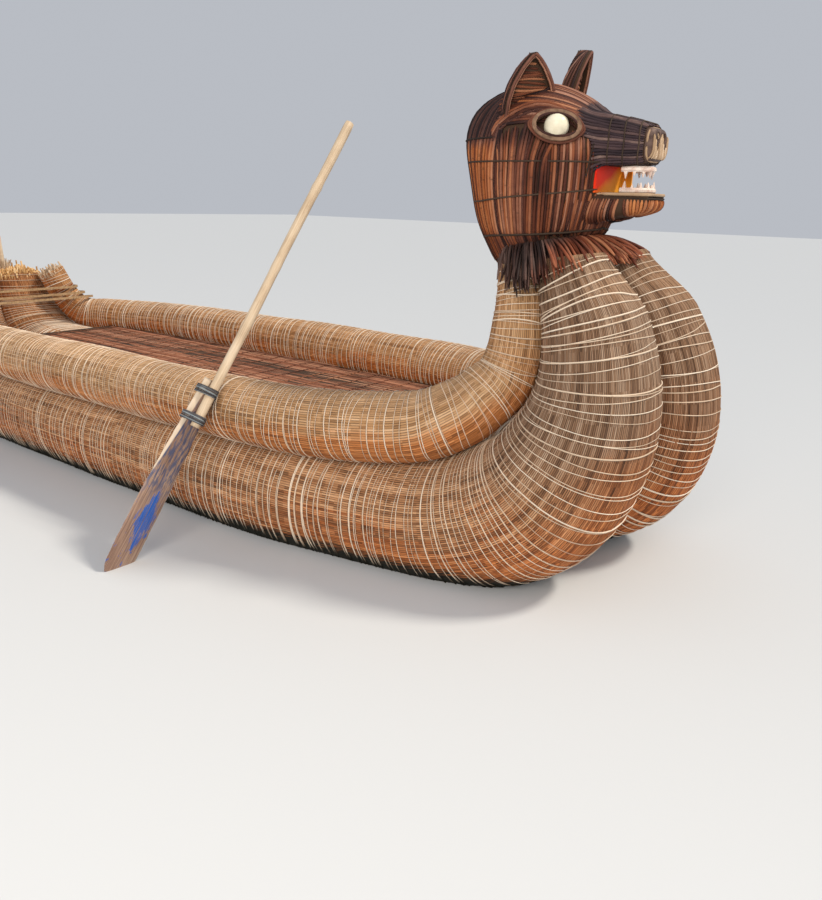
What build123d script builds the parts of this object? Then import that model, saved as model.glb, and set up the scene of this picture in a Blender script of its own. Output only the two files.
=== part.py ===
# Lake reed boat of bound reed bundles, with an animal head of reeds on its neck.
# Units are millimetres. +X is the bow, +Y is port, +Z is up.
# The origin is on the waterline, amidships, on the centreplane.
from build123d import *
import math
import os

os.makedirs("parts", exist_ok=True)

# named driving sizes
seat_gap = 0.3            # clearance left between pieces that are lashed together
bundle_gap = 3.6          # the same between a gunwale bundle and the hull bundle under it
hull_top = 550            # height of the flattened top of the hull amidships
port_reach = 95           # the port hull bundle bulges further forward than the other
neck_cut_x = 2590         # the neck is cut off level here, under the head
neck_cut_z = 1535
neck_cut_tilt = 10        # degrees, front edge higher

deck_thick = 36           # woven reed mat that is walked on
deck_gap = 0.8            # under the mat, because the hull's top is not quite flat
deck_aft_x = -2350
deck_fore_x = 1790
deck_edge_gap = 14        # between the mat's edge and the gunwale, so that a flat load can lie on it

thole_r = 24              # pair of stern thole pins that a sculling oar works between
thole_root_r = 20         # each is whittled thinner where it is driven into the reeds
thole_shoulder = 8        # height of the full thickness above the middle of the stern's end
thole_apart = 220
thole_x = -3150
thole_up = 340            # length above the shoulder
thole_in = 260            # length that is driven into the reeds
thole_rake = 6            # degrees, leaning aft

ruff_thick = 42           # brim of bound reeds that crowns the neck
ruff_half_l = 300
ruff_half_w = 430
nape_thick = 44           # band between the brim and the skull
nape_half_l = 240
nape_half_w = 225
nape_aft = 150            # the band's centre, aft of the brim's

mouth_x = 2712            # flat back wall of the mouth
mouth_low = 1822          # floor and roof of the open mouth
mouth_high = 1938
mouth_half_w = 150
lining = 10               # painted board that lines the mouth
lining_turn = 45          # length of its port end that is turned forward
nose_x = 2905             # front of the muzzle, where the nose pad starts
nose_thick = 34
nostril_r = 17
gum_r = 12
gum_gap = 1.8             # between the upper gum and the muzzle's hollow underside
tooth_long = 34
tooth_r = 8

eye_r = 54
eye_at = (2572, 272, 2088)
rim_half_l = 106          # almond rim round each eye
rim_half_h = 65
rim_wide = 17
rim_lift = 26             # its front face, ahead of the eye's centre
rim_deep = 95

ear_wide = 250            # width of the ear at its root
ear_tall = 265
ear_deep = 62             # depth of the cup, front to back
ear_wall = 18
ear_cup = 38              # depth of the hollow
ear_lean = 8              # degrees that the ear leans forward

tie_thick = 14            # cords tied round the stern ends
tie_wide = 20
tie_gap = 3.5             # between such a cord's middle and the reeds, which flare
gunwale_room = 42         # more at the gunwales, which pass through at a slant
stern_ties = (0.014, 0.023, 0.032)           # places along the bundle, as shares of its length

# The oar leans on the starboard gunwale with its blade tip at the water.
oar_cross_x = 1130        # where the oar crosses the gunwale
oar_slant = 56.5          # degrees above level, seen from ahead
oar_sweep = 5             # degrees that the butt leans forward
blade_long = 1100
blade_wide = 178
blade_neck = 104          # width of the blade where it starts
blade_thick = 32
blade_above = 60          # the blade starts this far above the gunwale crossing
blade_taper = 638         # length over which it widens
oar_gap = 1.4             # between the upper lashing and the gunwale
pole_r = 25
pole_long = 1800
pole_lap = 250            # length over which the pole is lashed to the blade
lash_wide = 42            # each lashing's length along the oar
lash_thick = 6
lash_in = (40, 190)       # how far each lashing starts below the blade's top

# Hull bundle, from stern end to neck.
# columns: x, z of the centre; half width; half height; upper corner radius;
#          lower corner radius; share of port_reach
HULL = [
    (-3180, 1015, 215, 205, 180, 180, 0.0),
    (-3125, 620, 285, 272, 245, 245, 0.0),
    (-2900, 330, 345, 315, 285, 285, 0.0),
    (-2440, 205, 420, 345, 300, 335, 0.0),
    (-1575, 195, 475, 355, 300, 395, 0.0),
    (0, 193, 483, 357, 300, 400, 0.0),
    (1240, 193, 475, 357, 300, 395, 0.0),
    (1840, 198, 430, 352, 300, 380, 0.1),
    (2340, 255, 385, 355, 320, 360, 0.6),
    (2680, 440, 360, 357, 325, 335, 1.0),
    (2835, 700, 325, 325, 300, 300, 1.0),
    (2880, 970, 280, 275, 255, 255, 0.8),
    (2830, 1250, 248, 218, 200, 200, 0.4),
    (2725, 1480, 226, 175, 160, 160, 0.1),
    (2635, 1680, 205, 150, 138, 138, 0.0),
]
hull_sections = 23

# Gunwale bundle, laid along the hull bundle's upper outer corner, one row for each hull row.
# columns: angle of the contact, up from outboard; radius; more room on the inside of a bend
GUNWALE = [
    (62, 112, 32),
    (60, 122, 35),
    (58, 138, 16),
    (60, 152, 10),
    (64, 165, 2),
    (65, 170, 0),
    (66, 172, 0),
    (70, 174, 1),
    (74, 170, 4),
    (77, 165, 11),
    (80, 158, 15),
    (84, 145, 15),
    (88, 130, 14),
    (92, 114, 8),
    (94, 104, 1),
]
gunwale_sections = 21


def even_rows(rows, count):
    """the rows, interpolated to a count of rows evenly spaced along their path"""
    at = [0.0]
    for p, q in zip(rows, rows[1:]):
        at.append(at[-1] + math.dist(p[:3], q[:3]))
    slopes = []
    for i in range(len(rows)):
        lo, hi = max(0, i - 1), min(len(rows) - 1, i + 1)
        slopes.append([(rows[hi][k] - rows[lo][k]) / (at[hi] - at[lo]) for k in range(len(rows[0]))])
    out = []
    for n in range(count):
        s = at[-1] * n / (count - 1)
        i = max(j for j in range(len(rows) - 1) if at[j] <= s + 1e-9)
        span = at[i + 1] - at[i]
        u = (s - at[i]) / span
        h = (2 * u**3 - 3 * u**2 + 1, u**3 - 2 * u**2 + u, 3 * u**2 - 2 * u**3, u**3 - u**2)
        out.append([h[0] * rows[i][k] + h[1] * span * slopes[i][k]
                    + h[2] * rows[i + 1][k] + h[3] * span * slopes[i + 1][k]
                    for k in range(len(rows[0]))])
    return out


def rounded_box(half_w, half_h, r_top, r_low):
    """a pressed round: flat-topped outline of lines and arcs, local Y up"""
    flat = 4                                    # least straight left between two arcs
    r_top = min(r_top, half_w - flat, half_h - flat)
    r_low = min(r_low, half_w - flat, 2 * half_h - r_top - flat)
    w, h = half_w, half_h
    k = math.sqrt(0.5)
    line, arc = Line, ThreePointArc
    edges = [
        line((-w, -h + r_low), (-w, h - r_top)),
        arc((-w, h - r_top), (-w + r_top * (1 - k), h - r_top * (1 - k)), (-w + r_top, h)),
        line((-w + r_top, h), (w - r_top, h)),
        arc((w - r_top, h), (w - r_top * (1 - k), h - r_top * (1 - k)), (w, h - r_top)),
        line((w, h - r_top), (w, -h + r_low)),
        arc((w, -h + r_low), (w - r_low * (1 - k), -h + r_low * (1 - k)), (w - r_low, -h)),
        line((w - r_low, -h), (-w + r_low, -h)),
        arc((-w + r_low, -h), (-w + r_low * (1 - k), -h + r_low * (1 - k)), (-w, -h + r_low)),
    ]
    return make_face(edges)


def hull_frame(rows, i):
    """centre, tangent and upward normal of one row, all in the XZ plane"""
    p, q = rows[max(0, i - 1)], rows[min(len(rows) - 1, i + 1)]
    t = Vector(q[0] - p[0], 0, q[1] - p[1]).normalized()
    return Vector(rows[i][0], 0, rows[i][1]), t, Vector(-t.Z, 0, t.X)


def reached(reach):
    return [(x + reach * share, z, w, h, rt, rl) for x, z, w, h, rt, rl, share in HULL]


def hull_bundle(reach):
    # x, z and a zero as the third place, so that the spacing is that of the path
    rows = even_rows([(r[0], r[1], 0) + r[2:] for r in reached(reach)], hull_sections)
    faces = []
    for i, (x, z, zero, half_w, half_h, r_top, r_low) in enumerate(rows):
        c, t, n = hull_frame(rows, i)
        frame = Plane(origin=c + Vector(0, half_w + seat_gap / 2, 0),
                      x_dir=Vector(0, 1, 0), z_dir=Vector(0, 1, 0).cross(n))
        faces.append(frame * rounded_box(half_w, half_h, r_top, r_low))
    return loft(faces)


def gunwale_rows(reach):
    """x, y, z and radius of the gunwale bundle, laid on the hull bundle all along"""
    rows = even_rows([(r[0], r[1], 0) + r[2:] + g for r, g in zip(reached(reach), GUNWALE)],
                     hull_sections)
    out = []
    for i, (x, z, zero, half_w, half_h, r_top, r_low, angle, rg, room) in enumerate(rows):
        c, t, n = hull_frame(rows, i)
        a, far = math.radians(angle), r_top + rg + bundle_gap + room
        p = c + n * (half_h - r_top + far * math.sin(a))
        out.append((p.X, seat_gap / 2 + 2 * half_w - r_top + far * math.cos(a), p.Z, rg))
    return out


def round_bundle(rows, count):
    rows = even_rows(rows, count)
    faces = []
    for i, (x, y, z, r) in enumerate(rows):
        p, q = rows[max(0, i - 1)], rows[min(len(rows) - 1, i + 1)]
        t = Vector(q[0] - p[0], q[1] - p[1], q[2] - p[2]).normalized()
        side = Vector(0, 1, 0)
        faces.append(Plane(origin=(x, y, z), x_dir=(side - t * t.dot(side)).normalized(), z_dir=t)
                     * Circle(r))
    return loft(faces)


parts = {}


def put(name, solid, side=1):
    if side < 0:
        solid = mirror(solid, Plane.XZ)
    parts[name] = solid


SIDES = (("port", 1, port_reach), ("starboard", -1, 0))

# Hull and gunwale bundles, cut off level under the head.
neck_plane = Plane(origin=(neck_cut_x, 0, neck_cut_z), x_dir=(0, 1, 0),
                   z_dir=(-math.sin(math.radians(neck_cut_tilt)), 0,
                          math.cos(math.radians(neck_cut_tilt))))
stern_end_z = HULL[0][1]
thole_axis = Plane(origin=(thole_x, thole_apart / 2, stern_end_z), x_dir=(0, 1, 0),
                   z_dir=(-math.sin(math.radians(thole_rake)), 0,
                          math.cos(math.radians(thole_rake))))
neck_room = neck_plane * Box(1600, 2400, 1200, align=(Align.CENTER, Align.CENTER, Align.MIN))
for name, side, reach in SIDES:
    hull = hull_bundle(reach) - neck_room
    socket = thole_axis * Pos(0, 0, -thole_in) * Cylinder(
        thole_root_r + seat_gap, 2 * thole_in, align=(Align.CENTER, Align.CENTER, Align.MIN))
    put("hull_bundle_" + name, hull - socket, side)
    put("gunwale_bundle_" + name,
        round_bundle(gunwale_rows(reach), gunwale_sections) - neck_room, side)
    root = Pos(0, 0, seat_gap - thole_in) * Cylinder(
        thole_root_r, thole_in + thole_shoulder, align=(Align.CENTER, Align.CENTER, Align.MIN))
    pin = Pos(0, 0, thole_shoulder) * Cylinder(
        thole_r, thole_up, align=(Align.CENTER, Align.CENTER, Align.MIN))
    put("thole_pin_" + name, thole_axis * (root + pin), side)

# Deck mat, cut to the gunwales' inner sides.
deck_top = hull_top + deck_gap + deck_thick
deck_edges = []
for name, side, reach in SIDES:
    run = [r for r in even_rows(gunwale_rows(reach), 60) if deck_aft_x < r[0] < deck_fore_x]
    run = run[:-2:4] + run[-1:]
    deck_edges.append([(x, side * (y - math.sqrt(rg**2 - (z - deck_top)**2) - deck_edge_gap))
                       for x, y, z, rg in run])
outline = deck_edges[0] + deck_edges[1][::-1]
put("deck_mat", Pos(0, 0, hull_top + deck_gap) * extrude(make_face(Polyline(outline, close=True)),
                                                          deck_thick))

# Head: brim, nape band and skull, on the neck's cut.
head_plane = neck_plane.offset(seat_gap)
put("ruff", extrude(head_plane * Ellipse(ruff_half_w, ruff_half_l), ruff_thick))
nape_plane = head_plane.offset(ruff_thick + seat_gap)
put("nape_band", extrude(nape_plane * Pos(0, nape_aft, 0) * Ellipse(nape_half_w, nape_half_l),
                         nape_thick))
skull_plane = nape_plane.offset(nape_thick + seat_gap)

# Skull, from the nape up. columns: z, x of the centre, half length, half width
SKULL = [
    (1480, 2417, 213, 210),
    (1560, 2410, 250, 245),
    (1655, 2399, 294, 280),
    (1790, 2402, 337, 318),
    (1925, 2393, 361, 330),
    (2035, 2372, 372, 315),
    (2140, 2351, 339, 270),
    (2215, 2334, 266, 203),
    (2265, 2333, 157, 118),
    (2285, 2351, 69, 50),
]
# Muzzle and lower jaw, from their roots forward.
# columns: x, top, underside, half width, corner radius
MUZZLE = [
    (2480, 2192, 1938, 175, 90),
    (2600, 2170, 1938, 168, 84),
    (2720, 2142, 1938, 150, 76),
    (2840, 2118, 1938, 128, 60),
    (2905, 2096, 1950, 108, 52),
]
JAW = [
    (2480, 1822, 1640, 175, 60),
    (2600, 1822, 1672, 168, 56),
    (2720, 1822, 1702, 152, 50),
    (2860, 1822, 1735, 128, 38),
    (2945, 1822, 1760, 100, 26),
]


def snout(rows):
    return loft([Plane(origin=(x, 0, (top + low) / 2), x_dir=(0, 1, 0), z_dir=(1, 0, 0))
                 * RectangleRounded(2 * w, top - low, r) for x, top, low, w, r in rows])


skull = split(loft([Pos(x, 0, z) * Ellipse(half_l, half_w) for z, x, half_l, half_w in SKULL]),
              skull_plane, keep=Keep.TOP)
mouth_room = Pos(mouth_x, 0, (mouth_low + mouth_high) / 2) * Box(
    600, 2 * mouth_half_w, mouth_high - mouth_low, align=(Align.MIN, Align.CENTER, Align.CENTER))
sockets = [Pos(eye_at[0], s * eye_at[1], eye_at[2]) * Sphere(eye_r + seat_gap) for s in (1, -1)]
put("muzzle", snout(MUZZLE) - skull)
put("lower_jaw", snout(JAW) - skull)
skull = skull - mouth_room - sockets
put("skull", skull)
for name, side, reach in SIDES:
    put("eyeball_" + name, Pos(*eye_at) * Sphere(eye_r), side)

# Mouth: painted lining, gums with teeth, nose pad.
lining_high = mouth_high - mouth_low - 2 * seat_gap
board = Box(lining, 2 * (mouth_half_w - seat_gap), lining_high,
            align=(Align.MIN, Align.CENTER, Align.MIN))
# the board's port end is turned forward along the cheek
flap = Pos(0, mouth_half_w - seat_gap, 0) * Box(lining + lining_turn, lining, lining_high,
                                                align=(Align.MIN, Align.MAX, Align.MIN))
put("mouth_lining", Pos(mouth_x + seat_gap, 0, mouth_low + seat_gap) * (board + flap))

# columns: name, height of the gum's centre, way the teeth point, half width, back x, bend x
GUMS = [
    ("upper_gum", mouth_high - gum_r - gum_gap, -1, 78, 2808, 2838),
    ("lower_gum", mouth_low + gum_r + seat_gap, 1, 78, 2808, 2846),
]
tooth_step = 34
for name, z, way, half_w, back_x, bend_x in GUMS:
    run = bend_x - back_x
    path = (Line((back_x, -half_w, z), (bend_x, -half_w, z))
            + ThreePointArc((bend_x, -half_w, z), (bend_x + half_w, 0, z), (bend_x, half_w, z))
            + Line((bend_x, half_w, z), (back_x, half_w, z)))
    path = Wire(path.edges())
    gum = sweep(Plane(origin=path @ 0, x_dir=(0, 0, 1), z_dir=path % 0)
                * RegularPolygon(gum_r, 8, major_radius=False, rotation=22.5), path=path)
    count = int(path.length / tooth_step)
    for i in range(count):
        p = path @ ((i + 0.5) / count)
        long = tooth_long * (0.55 + 0.45 * math.cos(1.9 * i) ** 2)
        tooth = loft([Rectangle(2 * tooth_r, 2 * tooth_r), Pos(0, 0, long) * Rectangle(3, 3)])
        turn = math.degrees(math.atan2((path % ((i + 0.5) / count)).Y, (path % ((i + 0.5) / count)).X))
        gum = gum + Pos(p.X, p.Y, z + way * gum_r * 0.5) * Rot(0, 0, turn) * Rot(
            0 if way > 0 else 180, 0, 0) * tooth
    put(name, gum)

# columns: x, top, underside, half width, corner radius
NOSE = [
    (nose_x + seat_gap, 2094, 1954, 98, 48),
    (nose_x + nose_thick * 0.6, 2090, 1960, 92, 46),
    (nose_x + nose_thick, 2074, 1976, 70, 36),
]
nostril_y, nostril_z = 36, 2052
nose = snout(NOSE)
for s in (1, -1):
    nose = nose - Pos(nose_x + nose_thick - 26, s * nostril_y, nostril_z) * Rot(0, 78, 0) * Cylinder(
        nostril_r, 80, align=(Align.CENTER, Align.CENTER, Align.MIN))
put("nose_pad", nose)

# Eye rims and ears.
eye_out = Vector(0.50, 0.84, 0.20).normalized()
rim_plane = Plane(origin=Vector(*eye_at) + eye_out * rim_lift, x_dir=Vector(0.85, -0.50, -0.10),
                  z_dir=eye_out)
lids = Ellipse(rim_half_l, rim_half_h) - Ellipse(rim_half_l - rim_wide, rim_half_h - rim_wide)
rim = extrude(rim_plane * lids, -rim_deep)
rim = rim - skull - Pos(*eye_at) * Sphere(eye_r + seat_gap)

# columns: name, side, x, y, z of the middle of the root, degrees that it leans outboard,
#          degrees that its cup is turned outboard
EARS = [
    ("port", 1, 2425, 188, 2205, 12, 16),
    ("starboard", -1, 2395, 188, 2130, 12, 38),
]
ear_sink = 90             # the root runs on down into the skull and is cut off by it


def ear_outline(inset):
    w, h = ear_wide / 2 - inset, ear_tall - 1.5 * inset
    low = inset - ear_sink
    edges = [
        Line((-w, low), (w, low)),
        Line((w, low), (w, 10)),
        ThreePointArc((w, 10), (w * 0.78, h * 0.56), (14, h)),
        ThreePointArc((14, h), (0, h + 7), (-14, h)),
        ThreePointArc((-14, h), (-w * 0.78, h * 0.56), (-w, 10)),
        Line((-w, 10), (-w, low)),
    ]
    return make_face(edges)


for name, side, x, y, z, splay, turn in EARS:
    place = Pos(x, y, z) * Rot(-splay, 0, 0) * Rot(0, ear_lean, 0) * Rot(0, 0, turn)
    shell = place * extrude(Plane.YZ * ear_outline(0), -ear_deep, taper=9)
    hollow = place * extrude(Plane.YZ * ear_outline(ear_wall), -ear_cup)
    half_skull = skull if side > 0 else mirror(skull, Plane.XZ)
    put("ear_" + name, shell - hollow - half_skull, side)
    pad = place * Pos(seat_gap - ear_cup, 0, 0) * extrude(
        Plane.YZ * ear_outline(ear_wall + seat_gap), lining)
    put("inner_ear_" + name, pad - half_skull, side)
    put("eye_rim_" + name, rim, side)

# Cords that tie the two stern ends and the gunwale ends together.
def tied_loop(main, round_one, corner, grow):
    """tight loop round both stern ends and the two gunwales that lie on them"""
    half_h, r = (main.max.Y - main.min.Y) / 2, max(round_one.size.X, round_one.size.Y) / 2
    middle = round_one.center()
    mains = Pos(0, main.min.Y + half_h) * rounded_box(main.max.X + grow, half_h + grow,
                                                      corner + grow, corner + grow)
    rounds = [Pos(s * middle.X, middle.Y) * Circle(r + grow + gunwale_room) for s in (1, -1)]
    return make_hull(mains.edges() + rounds[0].edges() + rounds[1].edges())


hull_path = even_rows([(r[0], r[1], 0) + r[2:] for r in reached(0)], 251)
for number, share in enumerate(stern_ties, 1):
    i = round(share * 250)
    c, t, n = hull_frame(hull_path, i)
    frame = Plane(origin=c, x_dir=Vector(0, 1, 0), z_dir=Vector(0, 1, 0).cross(n))
    # the outlines of the finished bundles where this loop passes
    main, round_one = [
        frame.to_local_coords(section(parts[name], section_by=frame).faces().sort_by(Axis.X)[0]
                              ).bounding_box()
        for name in ("hull_bundle_port", "gunwale_bundle_port")]
    corner = hull_path[i][5]
    tie = (tied_loop(main, round_one, corner, tie_gap + tie_thick)
           - tied_loop(main, round_one, corner, tie_gap))
    put("stern_cord_" + str(number), extrude(frame * tie, tie_wide / 2, both=True))

# Oar.
rows = even_rows(gunwale_rows(0), 200)
cross = min(rows, key=lambda r: abs(r[0] - oar_cross_x) + (1e6 if r[2] > 900 else 0))
slant, sweep_a = math.radians(oar_slant), math.radians(oar_sweep)
lean = Vector(math.sin(sweep_a), math.cos(slant) * math.cos(sweep_a),
              math.sin(slant) * math.cos(sweep_a))
outward = Vector(0, -math.sin(slant), math.cos(slant))
w, n = blade_wide / 2, blade_neck / 2
top, tip = blade_above, blade_above - blade_long
widest = top - blade_taper
half_at_cross = n + (w - n) * top / blade_taper
edge_slope = math.hypot(1, (w - n) / blade_taper)
middle = Vector(cross[0], -cross[1], cross[2]) + outward * (
    half_at_cross + (cross[3] + lash_thick + oar_gap) * edge_slope)
# the blade's own plane: X across it, Y up the oar
flat = Plane(origin=middle, x_dir=outward, z_dir=outward.cross(lean))
shape = [
    Line((-n, top), (n, top)),
    Line((n, top), (w, widest)),
    Line((w, widest), (w * 0.92, tip + w)),
    ThreePointArc((w * 0.92, tip + w), (0, tip), (-w * 0.92, tip + w)),
    Line((-w * 0.92, tip + w), (-w, widest)),
    Line((-w, widest), (-n, top)),
]
put("oar_blade", flat * extrude(make_face(shape), blade_thick / 2, both=True))
pole_off = -(blade_thick / 2 + pole_r + seat_gap)        # the pole lies on the forward face
put("oar_pole", flat * Pos(0, top - pole_lap, pole_off) * Rot(-90, 0, 0) * Cylinder(
    pole_r, pole_long, align=(Align.CENTER, Align.CENTER, Align.MIN)))


def lash_outline(half_w, half_t, r, lift):
    """tight loop round the plank's section and the pole on its front face"""
    return make_face(make_hull((Pos(0, 0) * Rectangle(2 * half_w, 2 * half_t)).edges()
                               + (Pos(0, lift) * Circle(r)).edges()))


for place, start in zip(("upper", "lower"), lash_in):
    half = n + (w - n) * (start + lash_wide) / blade_taper      # the plank widens downward
    # section plane: X across the blade, Y aft, normal down the oar
    section = Plane(origin=flat.from_local_coords((0, top - start, 0)), x_dir=outward,
                    z_dir=lean * -1)
    outer = lash_outline(half + lash_thick, blade_thick / 2 + lash_thick, pole_r + lash_thick, pole_off)
    inner = lash_outline(half + seat_gap, blade_thick / 2 + seat_gap, pole_r + seat_gap, pole_off)
    put("oar_lashing_" + place, extrude(section * (outer - inner), lash_wide))

for name, solid in parts.items():
    solid.label = name
    export_step(solid, "parts/" + name + ".step")
    print(name, round(solid.volume / 1e6, 2), "litres", solid.is_valid, len(solid.solids()))
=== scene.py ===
import math

import bpy
import numpy as np
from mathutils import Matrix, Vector
from mathutils.bvhtree import BVHTree

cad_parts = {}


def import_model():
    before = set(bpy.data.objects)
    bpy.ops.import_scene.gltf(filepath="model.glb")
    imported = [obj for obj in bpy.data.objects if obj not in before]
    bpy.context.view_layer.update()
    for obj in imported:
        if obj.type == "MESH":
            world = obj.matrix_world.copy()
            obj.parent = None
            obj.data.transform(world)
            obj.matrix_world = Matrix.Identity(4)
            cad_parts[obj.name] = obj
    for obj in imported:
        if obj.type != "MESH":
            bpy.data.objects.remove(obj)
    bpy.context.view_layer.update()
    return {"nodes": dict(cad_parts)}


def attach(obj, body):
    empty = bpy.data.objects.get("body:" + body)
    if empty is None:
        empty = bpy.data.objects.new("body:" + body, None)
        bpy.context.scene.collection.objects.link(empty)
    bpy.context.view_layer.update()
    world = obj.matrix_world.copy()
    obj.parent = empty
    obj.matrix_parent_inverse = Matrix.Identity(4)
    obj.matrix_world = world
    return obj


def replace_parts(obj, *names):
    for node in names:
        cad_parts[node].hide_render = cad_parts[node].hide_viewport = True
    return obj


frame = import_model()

rng = np.random.default_rng(7)
scene = bpy.context.scene
TAU = 2 * math.pi

# materials

WET = (0.012, 0.013, 0.009)             # soaked reeds and algae at the waterline
TINT = (0.82, 0.68, 0.74)               # over the tones of the head's reeds
# painted shade: a cool grey
BOW_SHADE_GREY = (0.62, 0.76, 1.0)            # over the bundles' tones at the bow
# painted sunlight: a golden tint
SUN_GOLD = (1.0, 0.66, 0.33)                # the same to port and at the stern


class Mat:
    """a small builder for node materials"""

    def __init__(self, name):
        self.mat = bpy.data.materials.new(name)
        self.mat.use_nodes = True
        self.t = self.mat.node_tree
        self.bsdf = self.t.nodes["Principled BSDF"]

    def node(self, kind, **values):
        n = self.t.nodes.new(kind)
        for k, v in values.items():
            setattr(n, k, v)
        return n

    def link(self, a, b):
        self.t.links.new(a, b)

    def uv(self, name, scale=(1, 1, 1), offset=(0, 0, 0)):
        n = self.node("ShaderNodeUVMap", uv_map=name)
        return self.mapped(n.outputs[0], scale, offset)

    def place(self, scale=(1, 1, 1), offset=(0, 0, 0)):
        n = self.node("ShaderNodeTexCoord")
        return self.mapped(n.outputs["Object"], scale, offset)

    def mapped(self, vector, scale, offset):
        m = self.node("ShaderNodeMapping")
        m.inputs["Scale"].default_value = scale
        m.inputs["Location"].default_value = offset
        self.link(vector, m.inputs["Vector"])
        return m.outputs[0]

    def noise(self, vector, scale=1.0, detail=3.0, rough=0.5):
        n = self.node("ShaderNodeTexNoise")
        n.inputs["Scale"].default_value = scale
        n.inputs["Detail"].default_value = detail
        n.inputs["Roughness"].default_value = rough
        self.link(vector, n.inputs["Vector"])
        return n.outputs["Fac"]

    def white(self, vector):
        n = self.node("ShaderNodeTexWhiteNoise", noise_dimensions="2D")
        self.link(vector, n.inputs["Vector"])
        return n.outputs["Value"]

    def snap(self, vector):
        n = self.node("ShaderNodeVectorMath", operation="FLOOR")
        self.link(vector, n.inputs[0])
        return n.outputs[0]

    def part(self, vector, axis):
        n = self.node("ShaderNodeSeparateXYZ")
        self.link(vector, n.inputs[0])
        return n.outputs[axis]

    def math(self, op, a, b=None, clamp=False):
        n = self.node("ShaderNodeMath", operation=op, use_clamp=clamp)
        for i, v in enumerate((a, b)):
            if v is None:
                continue
            if isinstance(v, (int, float)):
                n.inputs[i].default_value = v
            else:
                self.link(v, n.inputs[i])
        return n.outputs[0]

    def mul(self, a, b):
        return self.math("MULTIPLY", a, b)

    def add(self, a, b):
        return self.math("ADD", a, b)

    def sub(self, a, b):
        return self.math("SUBTRACT", a, b)

    def total(self, *parts):
        """the sum of values, each times its weight"""
        value = self.mul(*parts[0])
        for part in parts[1:]:
            value = self.add(value, self.mul(*part))
        return value

    def ramp(self, fac, stops):
        n = self.node("ShaderNodeValToRGB")
        r = n.color_ramp
        while len(r.elements) < len(stops):
            r.elements.new(0.5)
        for e, (p, c) in zip(r.elements, stops):
            e.position = p
            e.color = (*c, 1)
        self.link(fac, n.inputs[0])
        return n.outputs[0]

    def smooth(self, value, low, high):
        n = self.node("ShaderNodeMapRange", interpolation_type="SMOOTHSTEP")
        n.inputs["From Min"].default_value = low
        n.inputs["From Max"].default_value = high
        self.link(value, n.inputs["Value"])
        return n.outputs[0]

    def mix(self, fac, a, b, blend="MIX"):
        n = self.node("ShaderNodeMix", data_type="RGBA", blend_type=blend)
        for i, v in ((0, fac), (6, a), (7, b)):
            if isinstance(v, (int, float)):
                n.inputs[i].default_value = v
            elif isinstance(v, tuple):
                n.inputs[i].default_value = (*v, 1)
            else:
                self.link(v, n.inputs[i])
        return n.outputs[2]

    def tint(self, fac, color, by, amount=1.0):
        """a color that is multiplied by another where fac is high"""
        return self.mix(fac, color, self.mix(amount, color, by, "MULTIPLY"))

    def finish(self, color, height=None, rough=0.8, bump=0.5, distance=0.003):
        self.link(color, self.bsdf.inputs["Base Color"])
        self.bsdf.inputs["Roughness"].default_value = rough
        self.bsdf.inputs["Specular IOR Level"].default_value = 0.25
        if height is not None:
            b = self.node("ShaderNodeBump")
            b.inputs["Strength"].default_value = bump
            b.inputs["Distance"].default_value = distance
            self.link(height, b.inputs["Height"])
            self.link(b.outputs[0], self.bsdf.inputs["Normal"])
        return self.mat


def facing(m):
    """the surface's own upward slope, from -1 to 1"""
    n = m.node("ShaderNodeNewGeometry")
    return m.part(n.outputs["Normal"], 2)


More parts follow.
